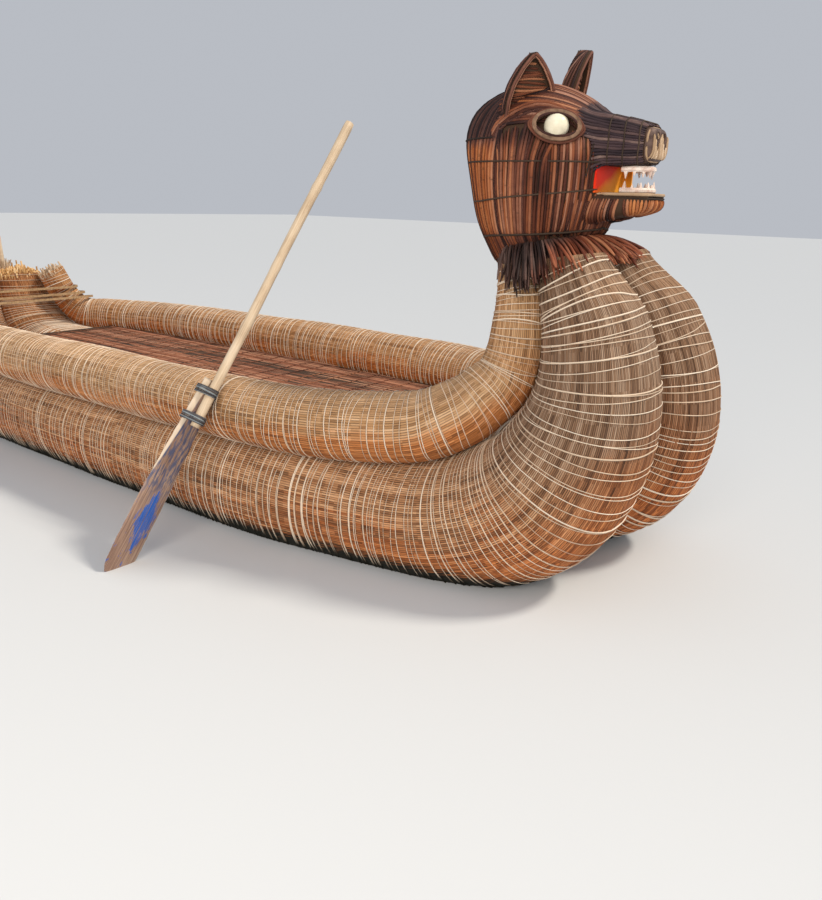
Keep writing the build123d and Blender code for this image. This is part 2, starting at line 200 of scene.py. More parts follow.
def bundle_material(name, cream, tan, brown, orange, gap=0.9, wet=True, painted_top_light=0.5):
    """reeds that run along a bundle; its UV is (metres along, reeds round)"""
    m = Mat(name)
    uv = m.uv("run")
    long_cell = m.snap(m.uv("run", (0.8, 1, 1), (0, 0.5, 0)))
    cell = m.snap(m.uv("run", (26, 1, 1), (0, 0.5, 0)))
    tone, dash = m.white(long_cell), m.white(cell)
    dash2 = m.white(m.mapped(cell, (1, 1, 1), (17, 5, 0)))
    streak = m.noise(m.uv("run", (3, 4.5, 1)), 1, 2)
    patch = m.noise(m.uv("run", (1.6, 0.07, 1)), 1, 3)
    cloud = m.noise(m.place((2.2, 2.2, 2.2)), 1, 3)
    value = m.total((tone, 0.26), (streak, 0.22), (dash, 0.20), (patch, 0.38))
    color = m.ramp(value, [(0.24, brown), (0.47, tan), (0.72, cream), (0.92, cream)])
    if wet:
        # painted shade: cool grey flanks where the hull stands up to the neck
        where = m.place()
        bow = m.smooth(m.add(m.part(where, 0), m.mul(cloud, 0.5)), 2.30, 2.75)
        bow = m.mul(bow, m.smooth(m.part(where, 2), 0.35, 0.85))
        color = m.tint(m.mul(bow, 0.9), color, BOW_SHADE_GREY)
    # painted sunlight: the port side and the stern are golden
    to_port = m.smooth(m.part(m.place(), 1), -0.1, 0.5)
    sun_gold = m.math("MAXIMUM", to_port, m.smooth(m.part(m.place(), 0), -2.3, -2.9))
    color = m.tint(m.mul(sun_gold, 0.45), color, SUN_GOLD)
    up = facing(m)
    # painted shade: reeds that face down turn orange
    low = m.smooth(m.add(up, m.mul(cloud, 1.1)), 0.85, 0.15)
    color = m.tint(m.mul(low, 0.85), color, orange, 0.9)
    # painted light: reeds that face up turn paler, towards cream
    top = m.smooth(up, 0.50, 0.98)
    color = m.mix(m.mul(top, painted_top_light), color, cream)
    # rounded reeds, with dark gaps that are open in one cell between two cords and shut in the next
    across = m.math("FRACT", m.add(m.part(uv, 1), 0.5))
    edge = m.math("ABSOLUTE", m.sub(across, 0.5))
    line = m.smooth(edge, 0.22, 0.44)
    bare = m.smooth(m.total((dash2, 0.65), (cloud, 0.9)), 0.60, 0.86)
    if wet:
        bare = m.math("MAXIMUM", bare, m.mul(m.mul(bow, m.smooth(dash2, 0.1, 0.4)), 0.9))
    dark = m.mul(m.mul(line, m.add(m.mul(bare, 0.80), 0.20)), gap)
    color = m.mix(dark, color, (0.040, 0.022, 0.014))
    if wet:
        z = m.part(m.place(), 2)
        ragged = m.mul(m.noise(m.uv("run", (14, 1.0, 1)), 1, 2), 0.16)
        soak = m.smooth(m.sub(z, ragged), 0.045, -0.03)
        color = m.mix(soak, color, WET)
    height = m.sub(m.mul(dash, 0.25), m.mul(m.mul(edge, edge), 4))
    height = m.add(height, m.mul(streak, 0.35))
    return m.finish(color, height, 0.78, 0.75, 0.004)


def strand_material(name, stops, rough=0.75, wet=False):
    """one tone for each reed, from the second UV number, with streaks along it"""
    m = Mat(name)
    ident = m.snap(m.uv("run", (0, 1000, 0), (0, 0.5, 0)))
    tone = m.white(ident)
    along = m.noise(m.uv("run", (22, 900, 1)), 1, 2)
    blotch = m.noise(m.place((9, 9, 9)), 1, 3)
    value = m.total((tone, 0.55), (along, 0.25), (blotch, 0.28))
    color = m.ramp(value, stops)
    if wet:
        z = m.part(m.place(), 2)
        color = m.mix(m.smooth(m.add(z, m.mul(blotch, -0.1)), 0.03, -0.03), color, WET)
    return m.finish(color, along, rough, 0.35, 0.002)


CREAM = (0.66, 0.385, 0.21)
TAN = (0.38, 0.180, 0.080)
BROWN = (0.105, 0.047, 0.024)
# the orange below is painted shade for the bundles' downward faces
SHADE_ORANGE = (1.0, 0.52, 0.20)
hull_mat = bundle_material("hull_reed", CREAM, TAN, BROWN, SHADE_ORANGE)
gunwale_mat = bundle_material("gunwale_reed", (0.68, 0.44, 0.255), (0.45, 0.25, 0.115), (0.19, 0.095, 0.042),
                              SHADE_ORANGE, 0.6, False, 0.35)
cord_mat = strand_material("pale_cord", [(0.2, (0.56, 0.41, 0.29)), (0.5, (0.76, 0.62, 0.48)),
                                         (0.85, (0.90, 0.80, 0.67))], 0.7, True)
dark_cord_mat = strand_material("dark_cord", [(0.2, (0.02, 0.013, 0.010)), (0.8, (0.07, 0.045, 0.03))])
muzzle_mat = strand_material("muzzle_reed", [(0.2, (0.014, 0.009, 0.013)), (0.5, (0.050, 0.030, 0.036)),
                                             (0.75, (0.11, 0.066, 0.064)), (0.92, (0.28, 0.19, 0.16))])
red_mat = strand_material("red_reed", [(0.2, (0.05, 0.014, 0.009)), (0.5, (0.19, 0.060, 0.028)),
                                       (0.8, (0.40, 0.17, 0.085))])
pale_mat = strand_material("pale_reed", [(0.2, (0.30, 0.19, 0.11)), (0.5, (0.52, 0.37, 0.24)),
                                         (0.85, (0.72, 0.58, 0.43))])
nose_mat = strand_material("nose_strip", [(0.2, (0.30, 0.19, 0.11)), (0.5, (0.50, 0.35, 0.22)),
                                          (0.85, (0.70, 0.55, 0.40))])
mat_mat = strand_material("mat_reed", [(0.2, (0.13, 0.045, 0.026)), (0.45, (0.32, 0.125, 0.066)),
                                       (0.7, (0.47, 0.215, 0.125)), (0.9, (0.60, 0.34, 0.21))])
# painted shade: near-black reeds for the solids under the strands, seen in the gaps between them
shade_under_mat = strand_material("shade_under_reed", [(0.2, (0.015, 0.009, 0.006)), (0.8, (0.06, 0.032, 0.018))])


def zoned_material(name, cool, warm, rough=0.75):
    """reeds whose tone and warmth also follow the second UV layer"""
    m = Mat(name)
    ident = m.snap(m.uv("run", (0, 1000, 0), (0, 0.5, 0)))
    tone = m.white(ident)
    along = m.noise(m.uv("run", (22, 900, 1)), 1, 2)
    blotch = m.noise(m.place((8, 8, 8)), 1, 3)
    spots = m.smooth(m.noise(m.uv("run", (55, 400, 1)), 1, 3), 0.60, 0.74)
    zone = m.uv("zone")
    value = m.add(m.total((tone, 0.62), (along, 0.22), (blotch, 0.26)), m.part(zone, 0))
    own = m.mul(m.sub(m.white(m.mapped(ident, (1, 1, 1), (3, 7, 0))), 0.5), 0.55)
    warmth = m.math("ADD", m.part(zone, 1), own, True)
    color = m.mix(1.0, m.mix(warmth, m.ramp(value, cool), m.ramp(value, warm)), TINT, "MULTIPLY")
    color = m.mix(m.mul(spots, 0.55), color, (0.03, 0.018, 0.012))
    return m.finish(color, along, rough, 0.4, 0.002)


head_mat = zoned_material(
    "head_reed",
    [(0.18, (0.014, 0.008, 0.009)), (0.42, (0.065, 0.033, 0.027)), (0.66, (0.17, 0.090, 0.062)),
     (0.92, (0.44, 0.30, 0.215))],
    [(0.18, (0.026, 0.009, 0.005)), (0.42, (0.13, 0.036, 0.012)), (0.64, (0.36, 0.115, 0.026)),
     (0.92, (0.66, 0.31, 0.10))])
fringe_mat = zoned_material(
    "fringe_reed",
    [(0.15, (0.010, 0.009, 0.009)), (0.45, (0.045, 0.034, 0.028)), (0.7, (0.15, 0.11, 0.085)),
     (0.92, (0.34, 0.26, 0.20))],
    [(0.15, (0.035, 0.010, 0.006)), (0.45, (0.17, 0.048, 0.020)), (0.7, (0.33, 0.115, 0.050)),
     (0.92, (0.56, 0.27, 0.12))])
orange_end_mat = strand_material("end_reed", [(0.2, (0.20, 0.10, 0.035)), (0.45, (0.52, 0.28, 0.10)),
                                              (0.7, (0.78, 0.52, 0.26)), (0.9, (0.86, 0.68, 0.42))])
lash_mat = strand_material("oar_cord", [(0.2, (0.03, 0.028, 0.03)), (0.5, (0.08, 0.075, 0.08)),
                                         (0.85, (0.30, 0.36, 0.40))])


def wood_material(name, stops, scale=(6, 160, 160)):
    m = Mat(name)
    grain = m.noise(m.uv("run", (scale[0], scale[1], 1)), 1, 5, 0.6)
    blotch = m.noise(m.place((6, 6, 6)), 1, 3)
    value = m.total((grain, 0.6), (blotch, 0.45))
    return m.finish(m.ramp(value, stops), grain, 0.6, 0.5, 0.002)


pole_mat = wood_material("bare_wood", [(0.25, (0.28, 0.18, 0.11)), (0.5, (0.58, 0.45, 0.31)),
                                       (0.75, (0.76, 0.64, 0.49))])


def blade_material():
    """worn wood with what is left of blue paint; UV is (metres from the top, metres across)"""
    m = Mat("painted_wood")
    uv = m.uv("run")
    down, c = m.part(uv, 0), m.part(uv, 1)
    grain = m.noise(m.uv("run", (5, 150, 1)), 1, 6, 0.62)
    blotch = m.noise(m.uv("run", (4, 9, 1), (3, 1, 0)), 1, 3)
    value = m.total((grain, 0.62), (blotch, 0.42))
    wood = m.ramp(value, [(0.30, (0.10, 0.055, 0.04)), (0.48, (0.25, 0.155, 0.115)),
                          (0.62, (0.40, 0.28, 0.21)), (0.80, (0.60, 0.48, 0.38))])
    cracks_at = m.noise(m.uv("run", (3, 260, 1), (1, 5, 0)), 1, 2)
    cracks = m.smooth(cracks_at, 0.60, 0.68)
    wood = m.mix(m.mul(cracks, 0.7), wood, (0.05, 0.03, 0.025))
    # the big blue patch
    mid = m.math("ABSOLUTE", m.sub(down, BLUE_AT))
    wide = m.math("ABSOLUTE", m.sub(c, BLUE_ACROSS))
    near = m.total((mid, 1 / BLUE_LONG), (wide, 1 / BLUE_WIDE))
    worn = m.noise(m.uv("run", (16, 70, 1), (5, 2, 0)), 1, 4, 0.6)
    near = m.add(near, m.mul(m.sub(worn, 0.5), 2.4))
    blue = m.mul(m.smooth(near, 1.10, 0.80), m.smooth(cracks_at, 0.64, 0.55))
    flecks = m.smooth(m.noise(m.uv("run", (22, 60, 1), (8, 4, 0)), 1, 3), 0.63, 0.68)
    lower = m.mul(m.smooth(down, 0.42, 0.60), m.mul(flecks, 0.8))
    blue = m.math("MAXIMUM", blue, lower)
    color = m.mix(blue, wood, m.mix(grain, (0.008, 0.055, 0.34), (0.035, 0.16, 0.52)))
    navy = m.mul(m.smooth(down, 0.72, 0.55), m.smooth(down, 0.10, 0.16))
    navy = m.mul(navy, m.smooth(worn, 0.42, 0.60))
    color = m.mix(m.mul(navy, 0.75), color, (0.025, 0.065, 0.16))
    # painted sunlight: a pale strip along the outboard edge of the upper half; and a thinner pale strip
    # inboard
    strip = m.smooth(m.sub(c, m.add(0.012, m.mul(down, 0.12))), 0.0, 0.006)
    strip = m.mul(strip, m.smooth(down, 0.66, 0.50))
    color = m.mix(m.mul(strip, 0.85), color, (0.72, 0.60, 0.46))
    thin = m.smooth(m.mul(c, -1), 0.068, 0.080)
    color = m.mix(m.mul(thin, 0.55), color, (0.55, 0.45, 0.36))
    return m.finish(color, grain, 0.6, 0.6, 0.003)


# the blue patch: its middle down the blade and across it, its half length and half width
BLUE_AT, BLUE_ACROSS, BLUE_LONG, BLUE_WIDE = 0.78, -0.012, 0.17, 0.062
blade_mat = blade_material()

# meshes

END_SHARE = 0.45                        # how far a strand's open ends are drawn in


def mesh(name, verts, quads, uv=None, mat=None):
    """an object from arrays of points and of four-sided faces; uv is one pair for each corner"""
    me = bpy.data.meshes.new(name)
    verts = np.asarray(verts, np.float32)
    quads = np.asarray(quads, np.int32).reshape(-1, 4)
    n = len(quads)
    me.vertices.add(len(verts))
    me.vertices.foreach_set("co", verts.ravel())
    me.loops.add(4 * n)
    me.loops.foreach_set("vertex_index", quads.ravel())
    me.polygons.add(n)
    me.polygons.foreach_set("loop_start", np.arange(0, 4 * n, 4, dtype=np.int32))
    me.polygons.foreach_set("loop_total", np.full(n, 4, np.int32))
    me.polygons.foreach_set("use_smooth", np.ones(n, bool))
    me.update(calc_edges=True)
    if uv is not None:
        layer = me.uv_layers.new(name="run")
        layer.data.foreach_set("uv", np.asarray(uv, np.float32).ravel())
    me.validate()
    ob = bpy.data.objects.new(name, me)
    scene.collection.objects.link(ob)
    me.materials.append(mat)
    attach(ob, "root")
    return ob


def grid_faces(rows, cols, wrap):
    """quads of a grid of rows by cols points; with wrap the last column joins the first"""
    i = np.arange(rows - 1)[:, None]
    j = np.arange(cols if wrap else cols - 1)[None, :]
    k = (j + 1) % cols
    return np.stack([i * cols + j, i * cols + k, (i + 1) * cols + k, (i + 1) * cols + j], -1).reshape(-1, 4)


def tube_arrays(lines, radii, sides, closed=False, flat=1.0, normals=None):
    """points, quads and UV of one tube along each line of points; tapered shut at open ends"""
    V, F, U, base = [], [], [], 0
    for n, (pts, r) in enumerate(zip(lines, radii)):
        pts = np.asarray(pts, float)
        m = len(pts)
        if m < 2:
            continue
        if closed:
            t = np.roll(pts, -1, 0) - np.roll(pts, 1, 0)
        else:
            t = np.gradient(pts, axis=0)
        t /= np.linalg.norm(t, axis=1)[:, None] + 1e-12
        if normals is not None and normals[n] is not None:
            up = np.asarray(normals[n], float)
        else:
            a = np.array([0.0, 0.0, 1.0]) if abs(t[:, 2]).mean() < 0.8 else np.array([1.0, 0.0, 0.0])
            up = np.tile(a, (m, 1))
        s = np.cross(t, up)
        s /= np.linalg.norm(s, axis=1)[:, None] + 1e-12
        u = np.cross(s, t)
        rr = np.full(m, r) if np.isscalar(r) else np.asarray(r, float)
        if not closed:
            rr = rr.copy()
            rr[0] *= END_SHARE
            rr[-1] *= END_SHARE
        ang = np.arange(sides) * TAU / sides + TAU / sides / 2
        ring = (np.cos(ang)[None, :, None] * s[:, None, :]
                + flat * np.sin(ang)[None, :, None] * u[:, None, :]) * rr[:, None, None]
        P = pts[:, None, :] + ring
        V.append(P.reshape(-1, 3))
        f = grid_faces(m, sides, True)
        if closed:
            j = np.arange(sides)
            k = (j + 1) % sides
            last = (m - 1) * sides
            f = np.vstack([f, np.stack([last + j, last + k, k, j], -1)])
        d = np.concatenate([[0], np.cumsum(np.linalg.norm(np.diff(pts, axis=0), axis=1))])
        along = d[np.clip(f // sides, 0, m - 1)]
        ident = np.full_like(along, (n % 997 + 0.5) / 1000)
        U.append(np.stack([along, ident], -1).reshape(-1, 2))
        F.append(f + base)
        base += m * sides
        if not closed and sides == 4:
            F.append(np.array([[0, 1, 2, 3], [3, 2, 1, 0]]) + np.array([[base - m * sides], [base - sides]]))
            U.append(np.full((8, 2), ident.flat[0]))
    return np.vstack(V), np.vstack(F), np.vstack(U)


class Strands:
    """lines of points that become one mesh of tubes, each with its radius and perhaps its normals"""

    def __init__(self):
        self.lines, self.radii, self.normals = [], [], []

    def add(self, line, radius, normals=None):
        self.lines.append(line)
        self.radii.append(radius)
        self.normals.append(normals)

    def tubes(self, name, mat, sides=5, closed=False, flat=1.0):
        return mesh(name, *tube_arrays(self.lines, self.radii, sides, closed, flat, self.normals), mat)


def unit(v):
    """vectors of length 1, from one or from rows of them"""
    return v / np.linalg.norm(v, axis=-1, keepdims=True)


def step(v, low, high):
    """a smooth rise from 0 at low to 1 at high"""
    u = np.clip((v - low) / (high - low), 0, 1)
    return u * u * (3 - 2 * u)


# bundles

Y = np.array([0.0, 1.0, 0.0])
MIRROR = np.array([1, -1, 1])
# The same tables as the part's source, in millimetres.
# hull columns: x, z of the centre; half width; half height; upper and lower corner radius; share of reach
HULL = [
    (-3180, 1015, 215, 205, 180, 180, 0.0), (-3125, 620, 285, 272, 245, 245, 0.0),
    (-2900, 330, 345, 315, 285, 285, 0.0), (-2440, 205, 420, 345, 300, 335, 0.0),
    (-1575, 195, 475, 355, 300, 395, 0.0), (0, 193, 483, 357, 300, 400, 0.0),
    (1240, 193, 475, 357, 300, 395, 0.0), (1840, 198, 430, 352, 300, 380, 0.1),
    (2340, 255, 385, 355, 320, 360, 0.6), (2680, 440, 360, 357, 325, 335, 1.0),
    (2835, 700, 325, 325, 300, 300, 1.0), (2880, 970, 280, 275, 255, 255, 0.8),
    (2830, 1250, 248, 218, 200, 200, 0.4), (2725, 1480, 226, 175, 160, 160, 0.1),
    (2635, 1680, 205, 150, 138, 138, 0.0),
]
# gunwale columns, one row for each hull row: contact angle, radius, room in a bend
GUNWALE = [(62, 112, 32), (60, 122, 35), (58, 138, 16), (60, 152, 10), (64, 165, 2), (65, 170, 0),
           (66, 172, 0), (70, 174, 1), (74, 170, 4), (77, 165, 11), (80, 158, 15), (84, 145, 15),
           (88, 130, 14), (92, 114, 8), (94, 104, 1)]
REACH = {"port": 95.0, "starboard": 0.0}
SIDE = {"port": 1, "starboard": -1}
GAP, BUNDLE_GAP = 0.3, 3.6
NECK = np.array([2590.0, 0, 1535.0])     # a point of the plane that cuts the bundles at the neck
NECK_TILT = math.radians(10)
NECK_N = np.array([-math.sin(NECK_TILT), 0, math.cos(NECK_TILT)])


def even_rows(rows, count):
    """rows of a table at even distances along the curve through its first three columns"""
    rows = np.asarray(rows, float)
    at = np.concatenate([[0], np.cumsum(np.linalg.norm(np.diff(rows[:, :3], axis=0), axis=1))])
    lo = np.clip(np.arange(len(rows)) - 1, 0, None)
    hi = np.clip(np.arange(len(rows)) + 1, None, len(rows) - 1)
    slope = (rows[hi] - rows[lo]) / (at[hi] - at[lo])[:, None]
    s = np.linspace(0, at[-1], count)
    i = np.clip(np.searchsorted(at, s, "right") - 1, 0, len(rows) - 2)
    span = (at[i + 1] - at[i])[:, None]
    u = (s - at[i])[:, None] / span
    out = ((2 * u**3 - 3 * u**2 + 1) * rows[i] + (u**3 - 2 * u**2 + u) * span * slope[i]
           + (3 * u**2 - 2 * u**3) * rows[i + 1] + (u**3 - u**2) * span * slope[i + 1])
    return out, s


def reached(reach):
    return [(x + reach * share, z, 0, w, h, rt, rl) for x, z, w, h, rt, rl, share in HULL]


def up_normals(P):
    """directions along a line in the plane y = 0, and their normals"""
    t = unit(np.gradient(P, axis=0) * (1, 0, 1))
    return t, np.stack([-t[:, 2], 0 * t[:, 0], t[:, 0]], -1)


def hull_rows(side, count):
    """the hull's table at even distances: rows, centres, directions, normals, metres along"""
    rows, s = even_rows(reached(REACH[side]), count)
    c = np.stack([rows[:, 0], 0 * rows[:, 0], rows[:, 1]], -1)
    t, n = up_normals(c)
    return rows, c, t, n, s / 1000


def gunwale_rows(side, count):
    """the gunwale's middle and radius, laid against the hull's rounded corner"""
    base, _ = even_rows([r + g for r, g in zip(reached(REACH[side]), GUNWALE)], 23)
    c = base[:, :2]
    lo = np.clip(np.arange(len(c)) - 1, 0, None)
    hi = np.clip(np.arange(len(c)) + 1, None, len(c) - 1)
    t = unit(c[hi] - c[lo])
    out = []
    for i, (x, z, _, w, h, rt, _, angle, rg, room) in enumerate(base):
        a, far = math.radians(angle), rt + rg + BUNDLE_GAP + room
        up = h - rt + far * math.sin(a)
        out.append((x - t[i, 1] * up, GAP / 2 + 2 * w - rt + far * math.cos(a), z + t[i, 0] * up, rg))
    rows, s = even_rows(out, count)
    return rows, s / 1000


def box_loop(w, h, rt, rl, f):
    """points and outward normals at shares f round a rounded box, from the middle of its inner side"""
    flat = 4
    rt = min(rt, w - flat, h - flat)
    rl = min(rl, w - flat, 2 * h - rt - flat)
    q = math.pi / 2
    # pieces: length; start or centre; direction or start angle; radius; counted from inner side, downwards
    pieces = [
        (max(0, h - rl), (-w, 0), (0, -1), 0), (rl * q, (-w + rl, -h + rl), math.pi, rl),
        (2 * (w - rl), (-w + rl, -h), (1, 0), 0), (rl * q, (w - rl, -h + rl), 1.5 * math.pi, rl),
        (2 * h - rl - rt, (w, -h + rl), (0, 1), 0), (rt * q, (w - rt, h - rt), 0.0, rt),
        (2 * (w - rt), (w - rt, h), (-1, 0), 0), (rt * q, (-w + rt, h - rt), 0.5 * math.pi, rt),
        (max(0, h - rt), (-w, h - rt), (0, -1), 0)]
    d = np.asarray(f) * sum(p[0] for p in pieces)
    P, N = np.zeros((len(d), 2)), np.zeros((len(d), 2))
    at = 0
    for length, a, b, r in pieces:
        k = (d >= at - 1e-9) & (d <= at + length + 1e-9)
        x = d[k] - at
        if r:
            ang = b + x / r
            N[k] = np.stack([np.cos(ang), np.sin(ang)], -1)
            P[k] = np.array(a) + r * N[k]
        else:
            P[k] = np.array(a) + x[:, None] * np.array(b)
            N[k] = np.array([b[1], -b[0]])
        at += length
    return P, N


def bundle_grid(kind, side, count, cols):
    """points and outward normals of a bundle's surface, and distance along it; mm in, metres out"""
    f = np.arange(cols) / cols
    if kind == "hull":
        rows, c, t, n, s = hull_rows(side, count)
        P, N = np.zeros((count, cols, 3)), np.zeros((count, cols, 3))
        for i, r in enumerate(rows):
            w, h, rt, rl = r[3:7]
            p, nn = box_loop(w, h, rt, rl, f)
            P[i] = c[i] + Y * (GAP / 2 + w) + p[:, :1] * Y + p[:, 1:] * n[i]
            N[i] = nn[:, :1] * Y + nn[:, 1:] * n[i]
    else:
        rows, s = gunwale_rows(side, count)
        c = rows[:, :3]
        t = unit(np.gradient(c, axis=0))
        a = unit(Y - t * t[:, 1:2])
        b = np.cross(t, a)
        b *= np.sign(b[:, 2:3] + 1e-9 + (abs(b[:, 2:3]) < 0.3) * -b[:, :1] * 10)
        ang = f * TAU + 0.5 * math.pi + math.pi
        N = np.cos(ang)[None, :, None] * a[:, None, :] + np.sin(ang)[None, :, None] * b[:, None, :]
        P = c[:, None, :] + N * rows[:, 3][:, None, None]
    if SIDE[side] < 0:
        P, N = P * MIRROR, N * MIRROR
    return P / 1000, N, s


def over_neck(P):
    """metres that points stand above the neck's cut"""
    return np.where(P[..., 0] > 1.5, (P - NECK / 1000) @ NECK_N, -1)


def rows_below_neck(P):
    """how many rows have a point below the neck's cut"""
    above = over_neck(P).min(1) > 0
    return int(np.argmax(above)) + 1 if above.any() else len(P)


def waves(s, cols):
    """slow bumps of a bundle's surface, in metres"""
    j = np.arange(cols)[None, :] / cols * TAU
    return 0.004 * np.sin(s[:, None] * 2.1 + j * 2 + 1) + 0.003 * np.sin(s[:, None] * 5.3 + j * 3)


def shoulder(P, kind, side):
    """the bundles' ends are drawn in under the fringe at the neck"""
    over = over_neck(P)[..., None]
    middle = np.array([2.60, SIDE[side] * (0.17 if kind == "hull" else 0.33), 0])
    k = step(over, -0.30, 0.0) * (0.24 if kind == "hull" else 0.10)
    k = np.where(P[..., :1] > 1.5, k, 0)
    return P + (middle - P) * k * np.array([1, 1, 0])


def reed_bundle(kind, side, count, cols, mat, rough):
    """the surface of a bundle as one mesh whose columns are its reeds"""
    P, N, s = bundle_grid(kind, side, count, cols)
    n = min(len(P), rows_below_neck(P))
    P, N, s = P[:n], N[:n], s[:n]
    # each column is one reed, which stands out more or less for a few rows at a time
    run = 9
    blocks = rng.normal(0, 1, (n // run + 3, cols))
    k = (np.arange(n)[:, None] + rng.integers(0, run, cols)[None, :]) / run
    i = k.astype(int)
    u = np.clip((k - i) * 3 - 1, 0, 1)
    j = np.arange(cols)[None, :]
    lift = blocks[i, j] * (1 - u) + blocks[i + 1, j] * u
    lift = np.clip(lift, -2, 2) * rough
    P = shoulder(P, kind, side) + N * (lift + waves(s, cols))[..., None]
    P = P - NECK_N * np.clip(over_neck(P) + 0.001, 0, None)[..., None]
    F = grid_faces(n, cols, True)
    if SIDE[side] > 0:
        F = F[:, ::-1]
    col = F % cols
    cc = np.where((col.max(1) - col.min(1) > 1)[:, None] & (col == 0), cols, col)
    U = np.stack([s[F // cols], cc], -1)
    ob = mesh(kind + "_reeds_" + side, P.reshape(-1, 3), F, U.reshape(-1, 2), mat)
    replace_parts(ob, kind + "_bundle_" + side)


def ring_places(length, spacing, seed):
    """uneven places along a bundle; spacing is a function of the place"""
    r = np.random.default_rng(seed)
    out, x = [], 0.02
    while x < length - 0.01:
        out.append(x)
        x += spacing(x / length) * float(np.clip(r.normal(1, 0.33), 0.35, 2.2))
    return np.array(out)


def cords(kind, side, spacing, cols, seed, thick):
    """the cords that bind a bundle, uneven in place, slant and thickness"""
    P, N, s = bundle_grid(kind, side, 360, cols)
    n = min(len(P), rows_below_neck(P) + 2)
    P, N, s = P[:n], N[:n], s[:n]
    P = shoulder(P, kind, side) + N * waves(s, cols)[..., None]
    r = np.random.default_rng(seed)
    ties = Strands()
    j = np.arange(cols)
    angle = j * TAU / cols
    for x in ring_places(s[-1], spacing, seed):
        slant = r.normal(0, 0.010)
        wob = r.normal(0, 0.004)
        at = x + slant * np.sin(angle + r.uniform(0, TAU)) + wob * np.sin(2 * angle + r.uniform(0, 6))
        at = np.clip(at, s[0] + 0.004, s[-1] - 0.004)
        k = np.searchsorted(s, at) - 1
        k = np.clip(k, 0, n - 2)
        u = ((at - s[k]) / (s[k + 1] - s[k]))[:, None]
        p = P[k, j] * (1 - u) + P[k + 1, j] * u
        nn = unit(N[k, j] * (1 - u) + N[k + 1, j] * u)
        if over_neck(p).max() > -0.004:
            continue
        ties.add(p + nn * 0.0030, thick * float(r.choice([0.6, 0.85, 1.0, 1.5])), nn)
    ties.tubes(kind + "_cords_" + side, cord_mat, 3, True, 0.8)


def hull_spacing(f):
    """metres between two cords at a share of the hull's length"""
    return 0.030 if f > 0.68 else 0.033


for side in SIDE:
    reed_bundle("hull", side, 190, 236, hull_mat, 0.0022)
    reed_bundle("gunwale", side, 180, 92, gunwale_mat, 0.0016)
    cords("hull", side, hull_spacing, 64, 11 + SIDE[side], 0.0034)
    cords("gunwale", side, lambda f: 0.027, 34, 31 + SIDE[side], 0.0028)


def zoned(ob, shade, warm):
    """a second UV layer on strands: u makes a point darker or paler, by tone and in places by painted shade;
    v turns it from grey to orange
    """
    me = ob.data
    co = np.empty(3 * len(me.vertices), np.float32)
    me.vertices.foreach_get("co", co)
    loops = np.empty(len(me.loops), np.int32)
    me.loops.foreach_get("vertex_index", loops)
    x, y, z = co.reshape(-1, 3).T
    both = np.stack([(f(x, y, z) if callable(f) else f) + 0 * x for f in (shade, warm)], -1)[loops]
    me.uv_layers.new(name="zone").data.foreach_set("uv", both.astype(np.float32).ravel())


def bump_at(v, middle, width):
    return np.exp(-((v - middle) / width) ** 2)


# The skull's sections as in the part's source. columns: z, x of the centre, half length, half width
SKULL = np.array([
    (1480, 2417, 213, 210), (1560, 2410, 250, 245), (1655, 2399, 294, 280), (1790, 2402, 337, 318),
    (1925, 2393, 361, 330), (2035, 2372, 372, 315), (2140, 2351, 339, 270), (2215, 2334, 266, 203),
    (2265, 2333, 157, 118), (2285, 2351, 69, 50)], float) / 1000


def skull_point(phi, z, lift):
    """a point that stands out from the skull; phi is 0 ahead and positive to port"""
    cx, hl, hw = (np.interp(z, SKULL[:, 0], SKULL[:, k]) for k in (1, 2, 3))
    slope = np.gradient(hl) / (np.gradient(z) + 1e-9) if np.ndim(z) and len(z) > 1 else 0 * hl
    n = np.stack([np.cos(phi) / hl, np.sin(phi) / hw, -slope / (hl + 1e-6) + 0 * hl], -1)
    n[..., 2] = np.clip(n[..., 2], -8, 8)
    n = unit(n)
    p = np.stack([cx + hl * np.cos(phi), hw * np.sin(phi), z + 0 * hl], -1)
    return p + n * np.asarray(lift)[..., None], n


FOOT_OVER_NECK = 0.0883


def skull_foot(x):
    """height of the skull's lower rim"""
    return NECK[2] / 1000 + FOOT_OVER_NECK + math.tan(NECK_TILT) * (x - NECK[0] / 1000)


NOSE_FRONT = 2.939
CROWN = 2.272           # top of the reeds behind the brow
MOUTH_TOP = 1.815       # top of the reeds under the mouth
CLEFT = 65.5            # degrees round from ahead of the cleft behind the cheek
# top of the cheek reeds, under the eye and the brow. columns: degrees round from ahead, z
CHEEK_TOP = np.array([(26, 2.03), (36, 2.055), (43, 2.062), (52, 2.036), (60, 2.026), (68, 2.036),
                      (75, 2.075), (84, 2.094), (93, 2.074), (101, 2.044)])
# brow band over the eye. columns: degrees round from ahead, z
BROW = np.array([(38, 2.050), (42, 2.085), (49, 2.130), (60, 2.150), (70, 2.152), (80, 2.138), (92, 2.108),
                 (101, 2.066), (104, 2.03)])


def solid_tree(*names):
    """a tree of the CAD solids for casting rays"""
    V, F = [], []
    for name in names:
        me = frame["nodes"][name].data
        base = len(V)
        V += [v.co.copy() for v in me.vertices]
        F += [[base + k for k in p.vertices] for p in me.polygons]
    return BVHTree.FromPolygons(V, F)


def shoot(tree, start, way, far=1.2):
    """where a ray hits, and the normal on its far side"""
    hit, normal, _, _ = tree.ray_cast(Vector(start), Vector(way).normalized(), far)
    if hit is None:
        return None, None
    n = np.array(normal)
    return np.array(hit), n if n @ np.array(way) > 0 else -n


def cast_line(tree, starts, ways, lift):
    """points on the surface seen from inside at each start, with gaps dropped"""
    P, N = [], []
    for s, w in zip(starts, ways):
        h, n = shoot(tree, s, w)
        if h is not None:
            P.append(h + n * lift)
            N.append(n)
    return np.array(P), np.array(N)


